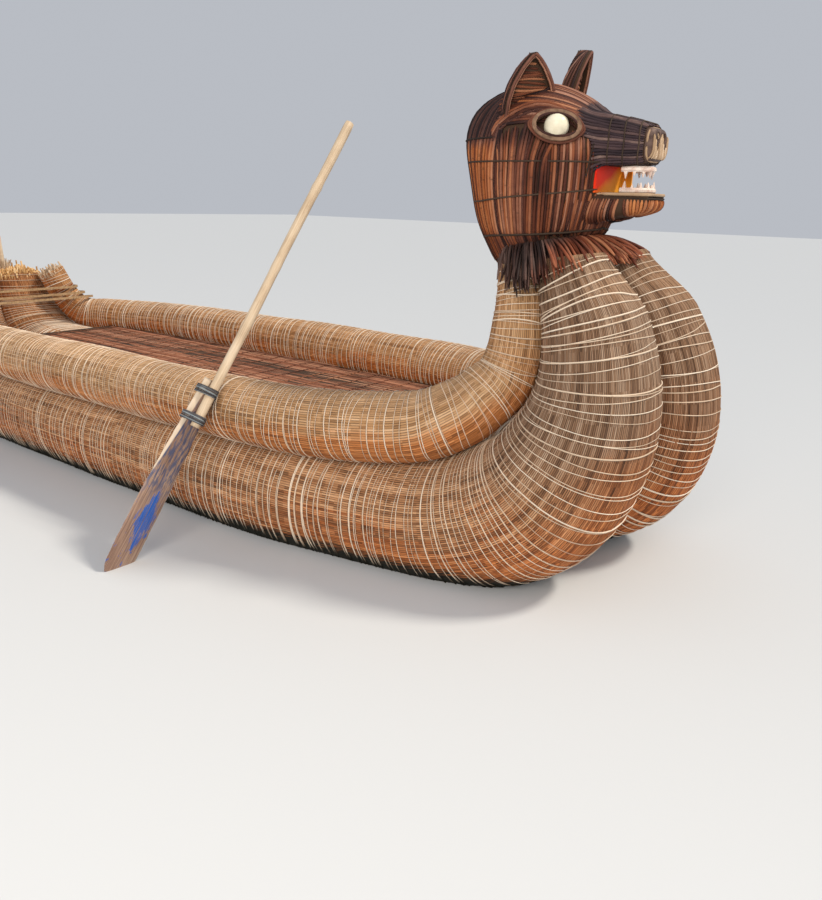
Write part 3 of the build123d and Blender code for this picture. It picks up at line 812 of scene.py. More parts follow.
def outer_line(tree, starts, ways, lift, out=0.9, far=0.9):
    """points on the outermost surface in each direction from each start"""
    P, N = [], []
    for s, w in zip(starts, ways):
        w = unit(np.array(w, float))
        h, n = shoot(tree, np.array(s) + w * out, -w, far)
        if h is not None:
            P.append(h - n * lift)
            N.append(-n)
    return np.array(P), np.array(N)


def smooth_line(P, rounds=2):
    for _ in range(rounds):
        Q = P.copy()
        Q[1:-1] = (P[:-2] + 2 * P[1:-1] + P[2:]) / 4
        P = Q
    return P


def head_strands():
    """upright reeds all round the skull"""
    skull = solid_tree("skull")
    reeds = Strands()
    count, points = 176, 26
    for i in range(count):
        phi0 = TAU * (i + 0.5) / count - math.pi
        deg = abs(math.degrees(phi0))
        top = np.interp(deg, *CHEEK_TOP.T) if deg <= 101 else CROWN
        if deg < 27:
            top = MOUTH_TOP
        foot = float(skull_foot(2.39 + 0.27 * math.cos(phi0))) - 0.05
        z = np.linspace(foot + rng.normal(0, 0.006), top + rng.normal(0, 0.006), points)
        phi = phi0 + rng.normal(0, 0.010) * np.sin(np.linspace(0, 3, points) + rng.uniform(0, 6))
        # the tops bend towards the middle of the cheek and the brow's foot
        if 62 < deg <= 101:
            phi = phi - math.copysign(0.16, phi0) * ((84 - deg) / 22) * step(z, 1.93, 2.09)
        # a cleft behind the cheek, where the cords pull the reeds in
        squeeze = bump_at(np.degrees(abs(phi)), CLEFT, 1.3) * step(z, 1.70, 1.82) * (1 - step(z, 1.92, 1.98))
        lift = 0.0065 + rng.normal(0, 0.0018) - 0.020 * squeeze
        p, n = skull_point(phi, z, lift)
        for k, (a, zz) in enumerate(zip(phi, z)):
            way = np.array([math.cos(a), math.sin(a), 0])
            h, nn = shoot(skull, np.array([2.38, 0, zz]) + way * 0.9, -way, 0.9)
            if h is not None and zz > 1.60:
                p[k], n[k] = h - nn * lift[k], -nn
        reeds.add(smooth_line(p), rng.normal(0.0072, 0.0009) * (1 - 0.35 * step(z, 2.16, 2.27)), n)
    ob = reeds.tubes("head_reeds", head_mat, 5, False, 0.85)

    def shade(x, y, z):
        back = step(-x, -2.33, -2.26)
        low = 0.05 * back * step(-z, -2.03, -1.98)
        dome = -0.30 * (1 - back) * step(z, 1.98, 2.06) * step(-x, -2.50, -2.44)
        top = -0.30 * back * step(z, 2.02, 2.07)
        # painted shade: darker at the foot of the reeds under the fringe, and in the cleft behind the cheek
        under = -0.22 * step(-z, -1.66, -1.60)
        cleft = -0.25 * bump_at(x, 2.535, 0.03) * bump_at(z, 1.86, 0.10)
        return low + dome + top + under + cleft + 0.10 * step(x, 2.56, 2.63) * step(z, 1.95, 2.0)

    def warm(x, y, z):
        back = step(-x, -2.34, -2.22)
        return np.clip(0.55 + 0.45 * back * step(-z, -2.04, -1.99) - 0.75 * back * step(z, 2.02, 2.06)
                       - 0.2 * step(z, 1.98, 2.06), 0, 1)

    zoned(ob, shade, warm)
    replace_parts(ob, "nape_band")


def above_brow(p):
    """whether a point of the skull lies over the brow band"""
    half_l, half_w = (np.interp(p[2], SKULL[:, 0], SKULL[:, k]) for k in (2, 3))
    phi = math.degrees(math.atan2(abs(p[1]) / max(0.02, half_w), (p[0] - 2.37) / half_l))
    return p[2] > np.interp(phi, *BROW.T, left=2.0, right=2.03) + 0.004


def top_strands():
    """reeds that run from between the ears forward over the brow to the muzzle"""
    tree = solid_tree("skull", "muzzle")
    reeds = Strands()
    points = 26
    narrowing = 1 - 0.10 * np.linspace(0, 1, points)
    for i in range(61):
        a = math.radians(-76 + 152 * i / 60)
        back = 2.17 + 0.09 * abs(math.sin(a)) + rng.normal(0, 0.006)
        x = np.linspace(back, 2.640 + rng.normal(0, 0.006), points)
        ways = [(0.05, math.sin(b), math.cos(b)) for b in a * narrowing]
        P, N = cast_line(tree, [(xx, 0, 2.02) for xx in x], ways, 0.006)
        if len(P) < 6:
            continue
        k = np.where([above_brow(p) for p in P])[0]
        if len(k) < 5:
            continue
        P, N = smooth_line(P[k[0]:k[-1] + 1]), N[k[0]:k[-1] + 1]
        wide = np.linalg.norm(P[:, 1:] - np.array([0, 2.02]), axis=1)
        reeds.add(P, np.clip(wide * math.radians(2.55) / 2 * 1.12, 0.0035, 0.0082), N)
    ob = reeds.tubes("brow_reeds", head_mat, 5, False, 0.85)
    zoned(ob, lambda x, y, z: (-0.10 + 0.22 * step(x, 2.36, 2.50) - 0.18 * step(x, 2.60, 2.66)
                               - 0.2 * step(-x, -2.28, -2.22)),
          lambda x, y, z: np.clip(0.35 + 0.25 * bump_at(x, 2.36, 0.10) - 0.2 * step(x, 2.58, 2.66), 0, 1))
    # the band over each eye
    band = Strands()
    at, rows = np.linspace(0, 1, 40), np.linspace(0, 1, len(BROW))
    for s in (1, -1):
        for k in range(4):
            phi = np.radians(np.interp(at, rows, s * (BROW[:, 0] + k * 0.5)))
            p, n = skull_point(phi, np.interp(at, rows, BROW[:, 1] + 0.0125 * k), 0.010 + 0.001 * k)
            band.add(p, 0.0072, n)
    zoned(band.tubes("brow_band", head_mat, 6, False, 0.9), 0.12, 0.45)


def eye_rims():
    """three rolled lids round each eye, drawn to points at its corners"""
    eye = np.array([2.572, 0.272, 2.088])
    o = unit(np.array([0.50, 0.84, 0.20]))
    a = np.array([0.85, -0.50, -0.10])
    a = unit(a - o * (a @ o))
    b = np.cross(o, a)
    b *= np.sign(b[2])
    t = np.linspace(0, TAU, 49)[:-1]
    almond = np.abs(np.cos(t)) ** 5
    for side, s in SIDE.items():
        flip = np.array([1, s, 1])
        lids = Strands()
        # columns: half length, half height, lift, radius
        for hl, hh, lift, r in ((0.092, 0.046, 0.028, 0.0052), (0.103, 0.058, 0.017, 0.0066),
                                (0.113, 0.069, 0.007, 0.0066)):
            q = (eye + o * (lift - 0.012 * almond[:, None])
                 + a * (hl * np.cos(t) * (1 + 0.06 * almond))[:, None]
                 + b * (hh * np.sin(t) * (1 - 0.30 * almond))[:, None])
            lids.add(q * flip, r, np.tile(o * flip, (48, 1)))
        zoned(lids.tubes("eye_lids_" + side, head_mat, 7, True, 0.95), 0.0, 0.45)


SKULL_CORD_R = 0.0042


def skull_cords():
    """dark cords round the skull: two at the cheeks, one behind the brow, one at the foot"""
    ties = Strands()
    full = np.linspace(-180, 180, 121)
    # columns of each level: degrees round from ahead, z
    for level in (((25, 1.950), (82, 1.946), (137, 1.948), (180, 1.95)),
                  ((27, 1.837), (62, 1.814), (125, 1.777), (180, 1.77))):
        for part in (full[full >= 24], full[full <= -24]):
            d = np.abs(part)
            lift = 0.0135 - 0.014 * bump_at(d, CLEFT, 3)
            p, n = skull_point(np.radians(part), np.interp(d, *zip(*level)), lift)
            ties.add(p, SKULL_CORD_R, n)
    for s in (1, -1):
        p, n = skull_point(np.radians(s * np.linspace(101, 180, 30)), np.full(30, 2.047), 0.0135)
        ties.add(p, SKULL_CORD_R, n)
    d = np.linspace(-180, 180, 97)[:-1]
    z = np.interp(np.abs(d), [0, 73, 122, 180], [1.672, 1.640, 1.624, 1.600])
    p, n = skull_point(np.radians(d), z, 0.014)
    ties.add(np.vstack([p, p[:1]]), 0.005, np.vstack([n, n[:1]]))
    ties.tubes("skull_cords", dark_cord_mat, 6)


MUZZLE_X = [2.60, 2.905]                # back and front of the muzzle's middle line
MUZZLE_Z = [2.05, 2.022]


def muzzle_middle(x):
    """height of the muzzle's middle line"""
    return np.interp(x, MUZZLE_X, MUZZLE_Z)


def muzzle_strands():
    """dark reeds along the muzzle, from its middle line out, and four cords across them"""
    tree = solid_tree("muzzle", "skull")
    reeds = Strands()
    count, points = 58, 18
    for i in range(count):
        a = math.radians(-128 + 256 * i / (count - 1))
        side = abs(math.degrees(a))
        x = np.linspace(2.610 + rng.normal(0, 0.008) + 0.085 * step(side, 66, 104), MUZZLE_X[1], points)
        P, N = outer_line(tree, [(xx, 0, muzzle_middle(xx)) for xx in x],
                          [(0.0, math.sin(a), math.cos(a))] * points, 0.0048 + rng.normal(0, 0.0012))
        if len(P) < 5:
            continue
        P = smooth_line(P, 3)
        P[:, 2] += 0.0016 * np.sin(P[:, 0] * 40 + i)
        reeds.add(P, np.interp(P[:, 0], MUZZLE_X, [0.0088, 0.0064]), N)
    reeds.tubes("muzzle_reeds", muzzle_mat, 5, False, 0.8)
    ties = Strands()
    a = np.radians(np.linspace(-130, 130, 49))
    for x in (2.690, 2.757, 2.822, 2.882):
        P, N = cast_line(tree, [(x + 0.006 * math.sin(3 * b), 0, muzzle_middle(x)) for b in a],
                         [(0, math.sin(b), math.cos(b)) for b in a], 0.0118)
        ties.add(smooth_line(P), 0.0035, N)
    ties.tubes("muzzle_cords", dark_cord_mat, 5)


JAW_FRONT = 2.84        # centre of the jaw's round front


def jaw_strands():
    """reeds down the jaw's sides and round its front, with the lip"""
    tree = solid_tree("lower_jaw", "skull")
    reeds = Strands()
    points = 14
    el = np.radians(np.linspace(-3, -66, points))
    places = [(x, side * math.pi / 2) for side in (1, -1) for x in np.arange(2.590, JAW_FRONT, 0.0125)]
    places += [(JAW_FRONT, math.radians(a)) for a in np.linspace(-84, 84, 27)]
    for x0, azim in places:
        slope = 0.0 if x0 > 2.835 else 0.0042
        starts = [(x0 - slope * j, 0, 1.802) for j in range(points)]
        ways = [(math.cos(azim) * math.cos(e), math.sin(azim) * math.cos(e), math.sin(e)) for e in el]
        P, N = outer_line(tree, starts, ways, 0.0055 + rng.normal(0, 0.001))
        if len(P) >= 6:
            reeds.add(smooth_line(P), rng.normal(0.0068, 0.0007), N)
    ob = reeds.tubes("jaw_reeds", head_mat, 5, False, 0.8)
    # painted shade: the jaw's reeds darken below z 1.70 to 1.74, on its underside
    zoned(ob, lambda x, y, z: 0.02 + 0.16 * step(x, 2.84, 2.92) - 0.15 * step(-z, -1.74, -1.70),
          lambda x, y, z: np.clip(0.45 + 0.55 * step(x, 2.82, 2.90), 0, 1))
    # rolled lip: two cords round the jaw's rim, one pale and one dark
    tree = solid_tree("lower_jaw")
    level = 1.812
    starts = [(x, 0, level) for x in np.linspace(2.70, JAW_FRONT, 10)][:-1]
    starts += [(JAW_FRONT, 0, level)] * 41
    starts += [(x, 0, level) for x in np.linspace(JAW_FRONT, 2.70, 10)][1:]
    round_front = [(math.cos(b), math.sin(b), 0) for b in np.radians(np.linspace(-90, 90, 41))]
    ways = [(0, -1, 0)] * 9 + round_front + [(0, 1, 0)] * 9
    for name, mat, z, lift, r in (("lip_dark", dark_cord_mat, 1.802, 0.0095, 0.0032),
                                  ("lip_pale", pale_mat, 1.818, 0.006, 0.0072)):
        P, N = cast_line(tree, starts, ways, lift)
        P[:, 2] = z
        lip = Strands()
        lip.add(smooth_line(P), r, N)
        lip.tubes(name, mat, 6)


def ruff_strands():
    """the fringe of reed ends that hangs over the neck, and the fan under the jaw"""
    reeds = Strands()
    ex = np.array([math.cos(NECK_TILT), 0, math.sin(NECK_TILT)])
    layers, count = 4, 170
    t = np.linspace(0, 1, 9)
    for layer in range(layers):
        for i in range(count):
            a = TAU * (i + rng.uniform(0, 1)) / count
            front = step(math.cos(a), 0.1, 0.75)
            back = step(-math.cos(a), 0.35, 0.8)
            c, q = math.cos(a), math.sin(a)
            root = np.array([(0.235 - 0.02 * layer) * c - 0.15, (0.225 - 0.02 * layer) * q, 0])
            reach = rng.normal(1.0, 0.06) - 0.075 * layer
            tip = np.array([0.275 * c * reach - 0.02 * (1 - front), 0.500 * q * reach, 0])
            if back > 0.1:
                tip = tip * (1 - 0.42 * back) + root * 0.42 * back
            rise = 0.085 - 0.012 * layer
            middle = 0.066 - 0.010 * layer
            droop = (-0.045 - 0.050 * (1 - front)) * rng.normal(1, 0.30)
            up = (1 - t) ** 2 * rise + 2 * t * (1 - t) * middle * 1.25 + t ** 2 * droop
            flat = root[None] * (1 - t[:, None]) + tip[None] * t[:, None]
            sway = (rng.normal(0, 0.018) * t ** 2)[:, None]
            P = (NECK / 1000 + ex * (flat[:, :1] - q * sway) + Y * (flat[:, 1:2] + c * sway)
                 + NECK_N * up[:, None])
            reeds.add(P, rng.normal(0.0062, 0.001))
    ob = reeds.tubes("ruff_reeds", fringe_mat)
    zoned(ob, lambda x, y, z: 0.16 * step(x, 2.66, 2.80), lambda x, y, z: step(x, 2.56, 2.72))
    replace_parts(ob, "ruff")


def rotation(axis, deg):
    c, q = math.cos(math.radians(deg)), math.sin(math.radians(deg))
    return np.array({"x": [[1, 0, 0], [0, c, -q], [0, q, c]], "y": [[c, 0, q], [0, 1, 0], [-q, 0, c]],
                     "z": [[c, -q, 0], [q, c, 0], [0, 0, 1]]}[axis])


EAR_TALL = 0.265
EAR_SHARES = [0, 0.3, 0.56, 0.8, 0.95, 1.0]
EAR_HALVES = [0.125, 0.117, 0.0975, 0.060, 0.026, 0.008]


def ear_half(h):
    """half width of the ear at a height"""
    return np.interp(np.clip(h / EAR_TALL, 0, 1), EAR_SHARES, EAR_HALVES)


def ear_strands():
    """reeds up the back of each ear and across its hollow, and a rolled rim"""
    # columns: side, sign, x, y, z of the foot, then splay, turn and lean in degrees
    for side, s, x, y, z, splay, turn, lean in (("port", 1, 2.425, 0.188, 2.205, 12, 16, 8),
                                                ("starboard", -1, 2.395, 0.188, 2.130, 12, 38, 8)):
        R = rotation("x", -splay) @ rotation("y", lean) @ rotation("z", turn)
        flip = np.array([1, s, 1])

        def world(p):
            return (np.asarray(p) @ R.T + np.array([x, y, z])) * flip

        tree = solid_tree("ear_" + side)
        # reeds up the back
        reeds = Strands()
        middles = [world((-0.012, 0, h)) for h in np.linspace(-0.06, 0.262, 16)]
        for b in np.radians(np.linspace(-88, 88, 23)):
            way = (np.array([-math.cos(b), math.sin(b), 0]) @ R.T) * flip
            P, N = outer_line(tree, middles, [way] * len(middles), 0.004, 0.4, 0.5)
            if len(P) > 5:
                reeds.add(smooth_line(P, 1), 0.0070 * (1 - 0.55 * np.linspace(0, 1, len(P))), N)
        zoned(reeds.tubes("ear_back_reeds_" + side, head_mat, 5, False, 0.85), -0.06, 0.25)
        # reeds across the hollow
        reeds = Strands()
        for h in np.arange(0.006, 0.235, 0.0125):
            w = ear_half(h + 0.02) - 0.019
            if w < 0.008:
                continue
            yy = np.linspace(-w, w, 9)
            sag = 0.010 * (1 - (yy / w) ** 2)
            line = world(np.stack([-0.0265 - sag * 0.35, yy, h + 0.006 * np.sin(yy * 18 + h * 90)], -1))
            reeds.add(line, rng.normal(0.0066, 0.0006))
        reeds.tubes("ear_hollow_reeds_" + side, red_mat, 5, False, 0.9)
        # rolled rim
        rim = Strands()
        hs = np.concatenate([np.linspace(-0.03, 0.25, 16), np.linspace(0.256, EAR_TALL, 5)])
        for inset, r, off in ((0.005, 0.0066, 0.002), (0.0135, 0.0046, -0.003)):
            w = np.maximum(ear_half(hs) - inset, 0.0)
            left = np.stack([np.full(len(hs), off), -w, hs - inset * 0.4], -1)
            rim.add(world(np.vstack([left, (left * MIRROR)[::-1][1:]])), r)
        zoned(rim.tubes("ear_rim_" + side, head_mat, 7), 0.30, 0.40)


def nose_strands():
    """pale strips down the front of the nose, a rim round it and one round each nostril"""
    tree = solid_tree("nose_pad")
    strips = Strands()
    for yy in np.linspace(-0.078, 0.078, 15):
        P = []
        top = 2.074 - 0.075 * bump_at(abs(yy), 0.042, 0.026)
        for zz in np.linspace(1.966, top, 12):
            h, _ = shoot(tree, (3.3, yy, zz), (-1, 0, 0))
            if h is not None and h[0] >= 2.915:
                P.append(h + np.array([0.003, 0, 0]))
        if len(P) > 4:
            strips.add(np.array(P), 0.0056)
    strips.tubes("nose_strips", nose_mat)
    t = np.linspace(0, TAU, 61)[:-1]
    c, q = np.cos(t), np.sin(t)
    rims = Strands()
    rims.add(np.stack([np.full(60, 2.914), 0.095 * np.sign(c) * np.abs(c) ** 0.6,
                       2.024 + 0.066 * np.sign(q) * np.abs(q) ** 0.6], -1), 0.0062)
    for side in (1, -1):
        rims.add(np.stack([NOSE_FRONT - 0.004 - 0.006 * (q > 0) * q, side * 0.041 + 0.024 * c,
                           2.044 + 0.031 * q], -1), 0.0042)
    rims.tubes("nose_rims", nose_mat, 6, True)


DECK_TOP = 0.5868
DECK_SPACING, DECK_REED_R = 0.0145, 0.0078
DECK_CORD_SPACING, DECK_CORD_R = 0.16, 0.0024


def deck_strands():
    """the deck's reeds run fore and aft, bound by cords across"""
    deck = solid_tree("deck_mat")

    def over_deck(x, y):
        return deck.ray_cast(Vector((float(x), float(y), 0.9)), Vector((0, 0, -1)), 0.5)[0] is not None

    reeds = Strands()
    for y in np.arange(-0.712, 0.713, DECK_SPACING):
        xs = [x for x in np.linspace(-2.28, 1.80, 409) if over_deck(x, y)]
        if len(xs) <= 20:
            continue
        x = xs[0] + 0.004
        stop = xs[-1] - 0.004
        while x < stop - 0.08:
            far = min(stop, x + rng.uniform(0.9, 2.2))
            xx = np.linspace(x, far, max(5, int((far - x) / 0.12)))
            yy = y + rng.normal(0, 0.0016) + 0.0025 * np.sin(xx * 5 + rng.uniform(0, 6))
            zz = DECK_TOP - 0.0035 + rng.normal(0, 0.0016) + 0.0012 * np.sin(xx * 13 + rng.uniform(0, 6))
            reeds.add(np.stack([xx, yy, zz], -1), rng.normal(DECK_REED_R, 0.0008))
            x = far + 0.004
    reeds.tubes("deck_reeds", mat_mat, 6, False, 0.7)
    ties = Strands()
    for x in np.arange(-2.2, 1.75, DECK_CORD_SPACING):
        ys = [y for y in np.linspace(-0.72, 0.72, 73) if over_deck(x, y)]
        if len(ys) < 5:
            continue
        yy = np.linspace(ys[0] + 0.005, ys[-1] - 0.005, 90)
        over_and_under = 0.0018 * np.cos(yy * TAU / (2 * DECK_SPACING))
        line = np.stack([x + 0.006 * np.sin(yy * 6 + x * 7), yy, DECK_TOP + 0.0045 + over_and_under], -1)
        ties.add(line, DECK_CORD_R)
    ties.tubes("deck_cords", red_mat, 4)


def stubs(name, centre, across, along, out, shape, dome, mat, seed):
    """cut reed ends that fill an outline; shape(u, v) is below 1 inside it"""
    r = np.random.default_rng(seed)
    ends = Strands()
    centre, across, along, out = (np.asarray(v, float) for v in (centre, across, along, out))
    gap = 0.0135                        # between two reeds
    n = int(1.2 / gap)
    for i in range(-n // 2, n // 2):
        for j in range(-n // 2, n // 2):
            u = (i + 0.5 * (j % 2)) * gap + r.normal(0, 0.0015)
            v = j * gap * 0.87 + r.normal(0, 0.0015)
            q = shape(u, v)
            if q > 1:
                continue
            h = dome * (1 - q * q) + r.normal(0, 0.012) + (r.uniform(0.0, 0.05) if r.random() < 0.12 else 0)
            tilt = np.array([r.normal(0, 0.10), r.normal(0, 0.10)]) + 0.35 * q * q * np.array([u, v])
            p0 = centre + across * u + along * v - out * 0.05
            p1 = centre + across * (u + tilt[0] * 0.05) + along * (v + tilt[1] * 0.05) + out * h
            ends.add(np.stack([p0, (p0 + p1) / 2, p1 - out * 0.002, p1]), r.normal(gap * 0.50, gap * 0.05))
    ends.tubes(name, mat)


PIN_X, PIN_Y = -3.150, 0.11
PIN_LONG, PIN_R = 0.3475, 0.0238


def stern_ends():
    """cut reed ends that close the bundles at the stern"""
    for side, s in SIDE.items():
        rows, c, t, n, _ = hull_rows(side, 60)
        w, h, rt = rows[0, 3:6] / 1000
        c0 = np.array([c[0, 0] / 1000, s * (0.00015 + w), c[0, 2] / 1000])

        def inside(u, v, w=w, h=h, rt=rt):
            q = max(abs(u) / w, abs(v) / h)
            k = math.hypot(max(0, abs(u) - (w - rt)), max(0, abs(v) - (h - rt))) / rt
            return max(q, k)

        stubs("stern_reed_ends_" + side, c0, (0, 1, 0), n[0], -t[0], inside, 0.055 if s > 0 else 0.030,
              orange_end_mat, 41 + s)
        g, _ = gunwale_rows(side, 60)
        flip = np.array([1, s, 1])
        gt = unit(g[1, :3] - g[0, :3]) * flip
        gc = g[0, :3] / 1000 * flip
        a = unit(np.cross(gt, [0, 0, 1.0]))
        stubs("gunwale_reed_ends_" + side, gc, a, np.cross(a, gt), -gt,
              lambda u, v, rg=g[0, 3] / 1000: math.hypot(u, v) / rg, 0.018, pale_mat, 51 + s)
        # a tuft of loose reeds round each pin
        tuft = Strands()
        r = np.random.default_rng(61 + s)
        for _ in range(70):
            a0 = r.uniform(0, TAU)
            away = np.array([math.cos(a0), math.sin(a0), 0])
            foot = np.array([PIN_X, s * PIN_Y, 1.02]) + 0.034 * away
            top = foot + away * r.uniform(0.0, 0.045) + np.array([-0.01, 0, r.uniform(0.05, 0.14)])
            middle = (foot + top) / 2 + np.array([0, 0, 0.01])
            tuft.add(np.stack([foot - [0, 0, 0.05], foot, middle, top]), r.uniform(0.004, 0.007))
        tuft.tubes("pin_tuft_" + side, pale_mat)


def pole_tube(name, p0, p1, r, seed, bend, knots=5):
    """a slightly bent round pole with knots and flat ends"""
    draws = np.random.default_rng(seed)
    p0, p1 = np.asarray(p0, float), np.asarray(p1, float)
    n, ring = 64, 20
    t = np.linspace(0, 1, n)[:, None]
    axis = unit(p1 - p0)
    a = unit(np.cross(axis, [0.3, 0.9, 0.2]))
    b = np.cross(axis, a)
    P = (p0 + (p1 - p0) * t + a * bend * np.sin(t * 5 + 1) * np.sin(t * math.pi)
         + b * bend * np.sin(t * 9 + 2) * np.sin(t * math.pi))
    rad = np.full(n, r) * (1 + 0.02 * np.sin(np.linspace(0, 22, n)))
    for _ in range(knots):
        rad += r * 0.07 * np.exp(-((t[:, 0] - draws.uniform(0.05, 0.95)) / 0.012) ** 2)
    rad[0] *= 0.96
    rad[-1] *= 0.93
    V, F, U = tube_arrays([P], [rad], ring)
    # undo the shut ends of a reed and close with flat caps
    for end in (0, n - 1):
        rows = slice(end * ring, (end + 1) * ring)
        V[rows] = P[end] + (V[rows] - P[end]) / END_SHARE
    caps = []
    for base in (0, (n - 1) * ring):
        for j in range(ring // 2 - 1):
            q = [base + j, base + j + 1, base + ring - 2 - j, base + ring - 1 - j]
            caps.append(q if base else q[::-1])
    F = np.vstack([F, np.array(caps)])
    U = np.vstack([U, np.full((4 * len(caps), 2), 0.02)])
    col = F % ring
    around = np.where((col == 0) & (np.max(col, 1) == ring - 1)[:, None], ring, col)
    U[:, 1] = (around / ring * TAU * r).ravel()
    return mesh(name, V, F, U, pole_mat)


def convex(pts):
    """the convex outline of points in a plane"""
    pts = sorted(map(tuple, pts))

    def half(seq):
        out = []
        for p in seq:
            while len(out) > 1 and ((out[-1][0] - out[-2][0]) * (p[1] - out[-2][1])
                                    - (out[-1][1] - out[-2][1]) * (p[0] - out[-2][0])) <= 0:
                out.pop()
            out.append(p)
        return out[:-1]
    return np.array(half(pts) + half(pts[::-1]))


def resample_closed(P, count):
    Q = np.vstack([P, P[:1]])
    d = np.concatenate([[0], np.cumsum(np.linalg.norm(np.diff(Q, axis=0), axis=1))])
    s = np.linspace(0, d[-1], count + 1)[:-1]
    return np.stack([np.interp(s, d, Q[:, 0]), np.interp(s, d, Q[:, 1])], -1)


OAR_SLANT, OAR_SWEEP = math.radians(56.5), math.radians(5)
POLE_R, LASH_R, LASH_TURNS = 0.0247, 0.0033, 7
# columns: distance from the blade's top, edge outboard, edge inboard
BLADE = np.array([(0.0, 0.050, 0.052), (0.02, 0.052, 0.053), (0.30, 0.070, 0.070), (0.64, 0.088, 0.088),
                  (0.90, 0.086, 0.089), (1.00, 0.083, 0.088), (1.04, 0.076, 0.084), (1.07, 0.060, 0.070),
                  (1.088, 0.040, 0.046), (1.098, 0.012, 0.010)])


def node_points(name):
    return np.array([v.co[:] for v in frame["nodes"][name].data.vertices])


def oar():
    """the paddle: a worn blade, the pole that is lashed to it and the two lashings"""
    lean = np.array([math.sin(OAR_SWEEP), math.cos(OAR_SLANT) * math.cos(OAR_SWEEP),
                     math.sin(OAR_SLANT) * math.cos(OAR_SWEEP)])
    outward = np.array([0, -math.sin(OAR_SLANT), math.cos(OAR_SLANT)])
    ahead = unit(np.cross(lean, outward))
    co = node_points("oar_blade")
    u, v, w = co @ outward, co @ lean, co @ ahead
    top = v.max()
    high = u[v > top - 0.01]
    o = outward * ((high.max() + high.min()) / 2) + lean * top + ahead * ((w.max() + w.min()) / 2)
    cols = 33
    s = np.concatenate([np.linspace(0, 1.0, 90), np.linspace(1.0, 1.098, 31)[1:]])
    hi, lo = np.interp(s, BLADE[:, 0], BLADE[:, 1]), np.interp(s, BLADE[:, 0], BLADE[:, 2])
    # worn, chipped edges
    hi = hi - 0.0025 * np.abs(np.sin(s * 31) * np.sin(s * 13 + 1)) - 0.0015 * rng.random(len(s))
    lo = lo - 0.0025 * np.abs(np.sin(s * 27 + 2) * np.sin(s * 17)) - 0.0015 * rng.random(len(s))
    f = np.linspace(-1, 1, cols)
    across = np.where(f[None] > 0, f[None] * hi[:, None], f[None] * lo[:, None])
    round_off = np.sqrt(np.clip(1 - np.abs(f) ** 3.2, 0, 1))
    thick = 0.0155 * round_off[None] * (1 - 0.45 * step(s, 0.75, 1.1))[:, None]
    flat = o + outward * across[..., None] - lean * s[:, None, None]
    V = np.vstack([(flat + ahead * side * thick[..., None]).reshape(-1, 3) for side in (1, -1)])
    g = grid_faces(len(s), cols, False)
    k = len(s) * cols
    end = []
    for row in (0, len(s) - 1):
        for j in range(cols - 1):
            q = [row * cols + j, row * cols + j + 1, k + row * cols + j + 1, k + row * cols + j]
            end.append(q if row else q[::-1])
    F = np.vstack([g[:, ::-1], g + k, np.array(end)])
    idx = F % k
    U = np.stack([s[idx // cols], across.reshape(-1)[idx]], -1)
    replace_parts(mesh("oar_blade_wood", V, F, U.reshape(-1, 2), blade_mat), "oar_blade")
    co = node_points("oar_pole")
    up = co @ lean
    ob = pole_tube("oar_pole_wood", co[up < up.min() + 0.004].mean(0), co[up > up.max() - 0.004].mean(0),
                   POLE_R, 5, 0.003)
    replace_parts(ob, "oar_pole")
    # lashings round blade and pole, each a few turns of cord
    turns = Strands()
    half_t = 0.016 + 0.0022
    lift = 0.016 + 0.025 + 0.0003
    around_pole = [(math.cos(a) * (POLE_R + 0.003), lift + math.sin(a) * (POLE_R + 0.003))
                   for a in np.linspace(0, TAU, 60)[:-1]]
    for start in (0.040, 0.190):
        for t in range(LASH_TURNS):
            d = start + 0.042 * (t + 0.5) / LASH_TURNS
            half_w = 0.052 + (0.089 - 0.052) * d / 0.638 + 0.0022
            corners = [(half_w, half_t), (half_w, -half_t), (-half_w, -half_t), (-half_w, half_t)]
            hull = resample_closed(convex(np.array(around_pole + corners)), 72)
            wave = 0.0018 * np.sin(np.linspace(0, TAU, 72) + t)
            flat = o - lean * d + outward * hull[:, :1] + ahead * hull[:, 1:]
            turns.add(flat - lean * wave[:, None], LASH_R)
    ob = turns.tubes("oar_lashing_cords", lash_mat, 5, True)
    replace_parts(ob, "oar_lashing_upper")
    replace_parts(ob, "oar_lashing_lower")


def pins():
    """the two thole pins"""
    rake = math.radians(6)
    axis = np.array([-math.sin(rake), 0, math.cos(rake)])
    for side, s in SIDE.items():
        foot = np.array([PIN_X, s * PIN_Y, 1.015])
        ob = pole_tube("thole_pin_wood_" + side, foot - axis * 0.02, foot + axis * PIN_LONG, PIN_R, 70 + s,
                       0.0012, 3)
        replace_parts(ob, "thole_pin_" + side)


for dress in (head_strands, top_strands, eye_rims, skull_cords, muzzle_strands, jaw_strands, ruff_strands,
              ear_strands, nose_strands, deck_strands, stern_ends, oar, pins):
    dress()


def paint(mat, *names):
    """a material of the scene's own on CAD nodes that stay in sight"""
    for name in names:
        data = frame["nodes"][name].data
        data.materials.clear()
        data.materials.append(mat)


def plain_paint(name, color, low, rough, scale=14, bump=0.25):
    m = Mat(name)
    blotch = m.noise(m.place((scale,) * 3), 1, 5, 0.6)
    color = m.mix(m.smooth(blotch, 0.35, 0.72), color, low)
    return m.finish(color, blotch, rough, bump, 0.002)


